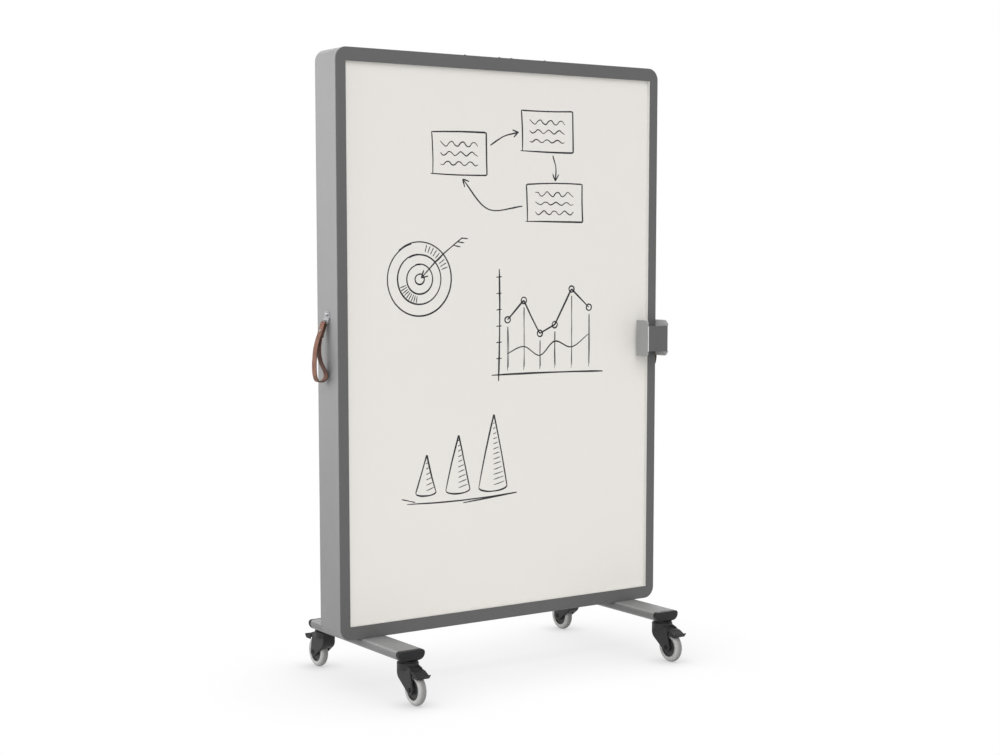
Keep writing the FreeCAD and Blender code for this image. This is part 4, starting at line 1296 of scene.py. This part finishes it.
@dataclass(frozen=True)
class SoftLamp:
    """Square soft lamp that shows in no reflection.

    at is where it hangs and aim the point that it faces, size its side in metres, watts its power, and spread
    the angle of its beam in degrees.
    """

    at: Point
    aim: Point
    size: float
    watts: float
    spread: float

    def build(self, name: str) -> None:
        """Hangs the lamp.

        Args:
            name: the lamp's name.
        """
        data = bpy.data.lights.new(name, "AREA")
        data.size = self.size
        data.energy = self.watts
        data.spread = math.radians(self.spread)
        lamp = bpy.data.objects.new(name, data)
        lamp.location = self.at
        lamp.rotation_euler = (Vector(self.aim) - Vector(self.at)).to_track_quat("-Z", "Y").to_euler()
        lamp.visible_glossy = False
        bpy.context.scene.collection.objects.link(lamp)


@dataclass(frozen=True)
class SoftSun:
    """Broad even light from far away.

    towards is the direction in which it lies, strength its power per square metre, and angle how wide it
    looks, in degrees.
    """

    towards: Point
    strength: float
    angle: float = 60.0

    def build(self, name: str) -> None:
        """Sets up the light.

        Args:
            name: its name.
        """
        data = bpy.data.lights.new(name, "SUN")
        data.angle = math.radians(self.angle)
        data.energy = self.strength
        lamp = bpy.data.objects.new(name, data)
        lamp.rotation_euler = (-Vector(self.towards)).to_track_quat("-Z", "Y").to_euler()
        bpy.context.scene.collection.objects.link(lamp)


@dataclass
class Studio:
    """Pale floor, soft lamps, white surroundings and the camera.

    turn and tilt are the camera's angles in degrees. The pool and the contact are how much of the floor's
    light goes near the object, and each reach is how far that works.
    """

    camera_at: Point = (-3.184, -4.672, 1.372)
    turn: float = 34.424
    tilt: float = 5.82
    lens: float = 62.77
    sensor: float = 36.0
    shift: float = 0.0465
    clip_end: float = 100.0
    floor_half: float = 14.0
    floor_colour: Colour = (0.8, 0.8, 0.8)
    floor_dim: float = 0.995
    floor_scale: float = 3.0
    room: float = 0.56
    pool: float = 0.36
    pool_reach: float = 0.45
    contact: float = 0.28
    contact_reach: float = 0.07
    shade_samples: int = 16
    left_key: SoftLamp = SoftLamp((-2.4, 0.5, 1.95), (-0.62, 0.05, 1.8), size=2.2, watts=36.0, spread=125.0)
    left_fill: SoftSun = SoftSun((-1.0, 0.05, 0.45), strength=0.28)
    front_fill: SoftSun = SoftSun((-0.3, -0.85, 0.6), strength=1.44)
    back_fill: SoftSun = SoftSun((0.6, 0.7, 0.4), strength=0.75)

    def build_floor(self) -> None:
        """Floor that is white where the camera or a reflection sees it, but for soft shade near the object.

        The shade is the product, for the wide pool and for the narrow contact, of one minus its depth times
        the share of the sky that the object hides within its reach.
        """
        h = self.floor_half
        corners = np.array([(-h, -h, 0), (h, -h, 0), (h, h, 0), (-h, h, 0)], float)
        floor = new_mesh("studio_floor", corners, [[0, 1, 2, 3]])
        sheet = NodeSheet("studio_floor")
        sheet.set(Roughness=0.9, Specular_IOR_Level=0.0)
        grain = sheet.noise(sheet.place(), self.floor_scale)
        near = scaled(self.floor_colour, self.floor_dim)
        sheet.wire(sheet.two_tone(grain, near, self.floor_colour), "Base Color")
        pool = self.shade(sheet, self.pool, self.pool_reach)
        contact = self.shade(sheet, self.contact, self.contact_reach)
        glow = sheet.add("Emission", Strength=sheet.math("MULTIPLY", pool, contact))
        mix = sheet.add("MixShader", self.seen(sheet.tree), sheet.shader.outputs[0], glow.outputs[0])
        sheet.tree.links.new(mix.outputs[0], sheet.tree.nodes["Material Output"].inputs["Surface"])
        dress(floor, sheet.material)

    def shade(self, sheet: NodeSheet, depth: float, reach: float) -> Socket:
        """How much light the object leaves on the floor.

        Args:
            sheet: the floor's nodes.
            depth: how much goes where the whole sky is hidden.
            reach: how far from the object it works.

        Returns:
            One minus depth times the share of the sky that is hidden within reach.
        """
        hidden = sheet.add("AmbientOcclusion", Distance=reach)
        hidden.samples = self.shade_samples
        return sheet.add("MapRange", Value=hidden.outputs["AO"], To_Min=1.0 - depth).outputs["Result"]

    def seen(self, tree: bpy.types.NodeTree) -> Socket:
        """Tells what is looked at from what only gives light.

        Args:
            tree: the nodes of the floor or of the surroundings.

        Returns:
            1 where the camera, a reflection or a view through glass meets the surface, and 0 elsewhere.
        """
        rays = add_node(tree, "LightPath").outputs
        first = add_node(tree, "Math", rays["Is Camera Ray"], rays["Is Glossy Ray"])
        second = add_node(tree, "Math", first.outputs[0], rays["Is Transmission Ray"])
        first.operation = second.operation = "MAXIMUM"
        return second.outputs[0]

    def build_world(self) -> None:
        """Surroundings that light softly and look white."""
        world = bpy.data.worlds.new("studio_world")
        bpy.context.scene.world = world
        world.use_nodes = True
        tree = world.node_tree
        soft = tree.nodes["Background"]
        soft.inputs["Color"].default_value = (1, 1, 1, 1)
        soft.inputs["Strength"].default_value = self.room
        white = add_node(tree, "Background", Color=(1, 1, 1, 1), Strength=1.0)
        mix = add_node(tree, "MixShader", self.seen(tree), soft.outputs[0], white.outputs[0])
        tree.links.new(mix.outputs[0], tree.nodes["World Output"].inputs["Surface"])

    def build_camera(self) -> None:
        """Camera at the photograph's angle, for a frame of 1000 by 755."""
        data = bpy.data.cameras.new("view")
        data.lens = self.lens
        data.sensor_width = self.sensor
        data.sensor_fit = "HORIZONTAL"
        data.shift_y = self.shift
        data.clip_end = self.clip_end
        camera = bpy.data.objects.new("view", data)
        camera.location = self.camera_at
        camera.rotation_euler = (math.radians(90 - self.tilt), 0, math.radians(-self.turn))
        bpy.context.scene.collection.objects.link(camera)
        bpy.context.scene.camera = camera

    def build(self) -> None:
        """Builds the whole studio."""
        self.build_floor()
        self.build_world()
        for name in ("left_key", "left_fill", "front_fill", "back_fill"):
            getattr(self, name).build(name)
        self.build_camera()
        bpy.context.scene.view_settings.view_transform = "Standard"
        log.info("studio built")


def main() -> None:
    """Builds every class in order."""
    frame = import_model()
    nodes = frame["nodes"]
    finishes = Palette()
    palette = {name: getattr(finishes, name).build() for name in finishes.__dataclass_fields__}
    for part in (CaseFinish(), FootFinish(), CasterFinish(), TrimFinish()):
        part.build(nodes, palette)
    for side in Side:
        LeatherPull(side).build(palette)
    SketchSheet(Face.FRONT).build(palette)
    Studio().build()


if __name__ == "__main__":
    main()
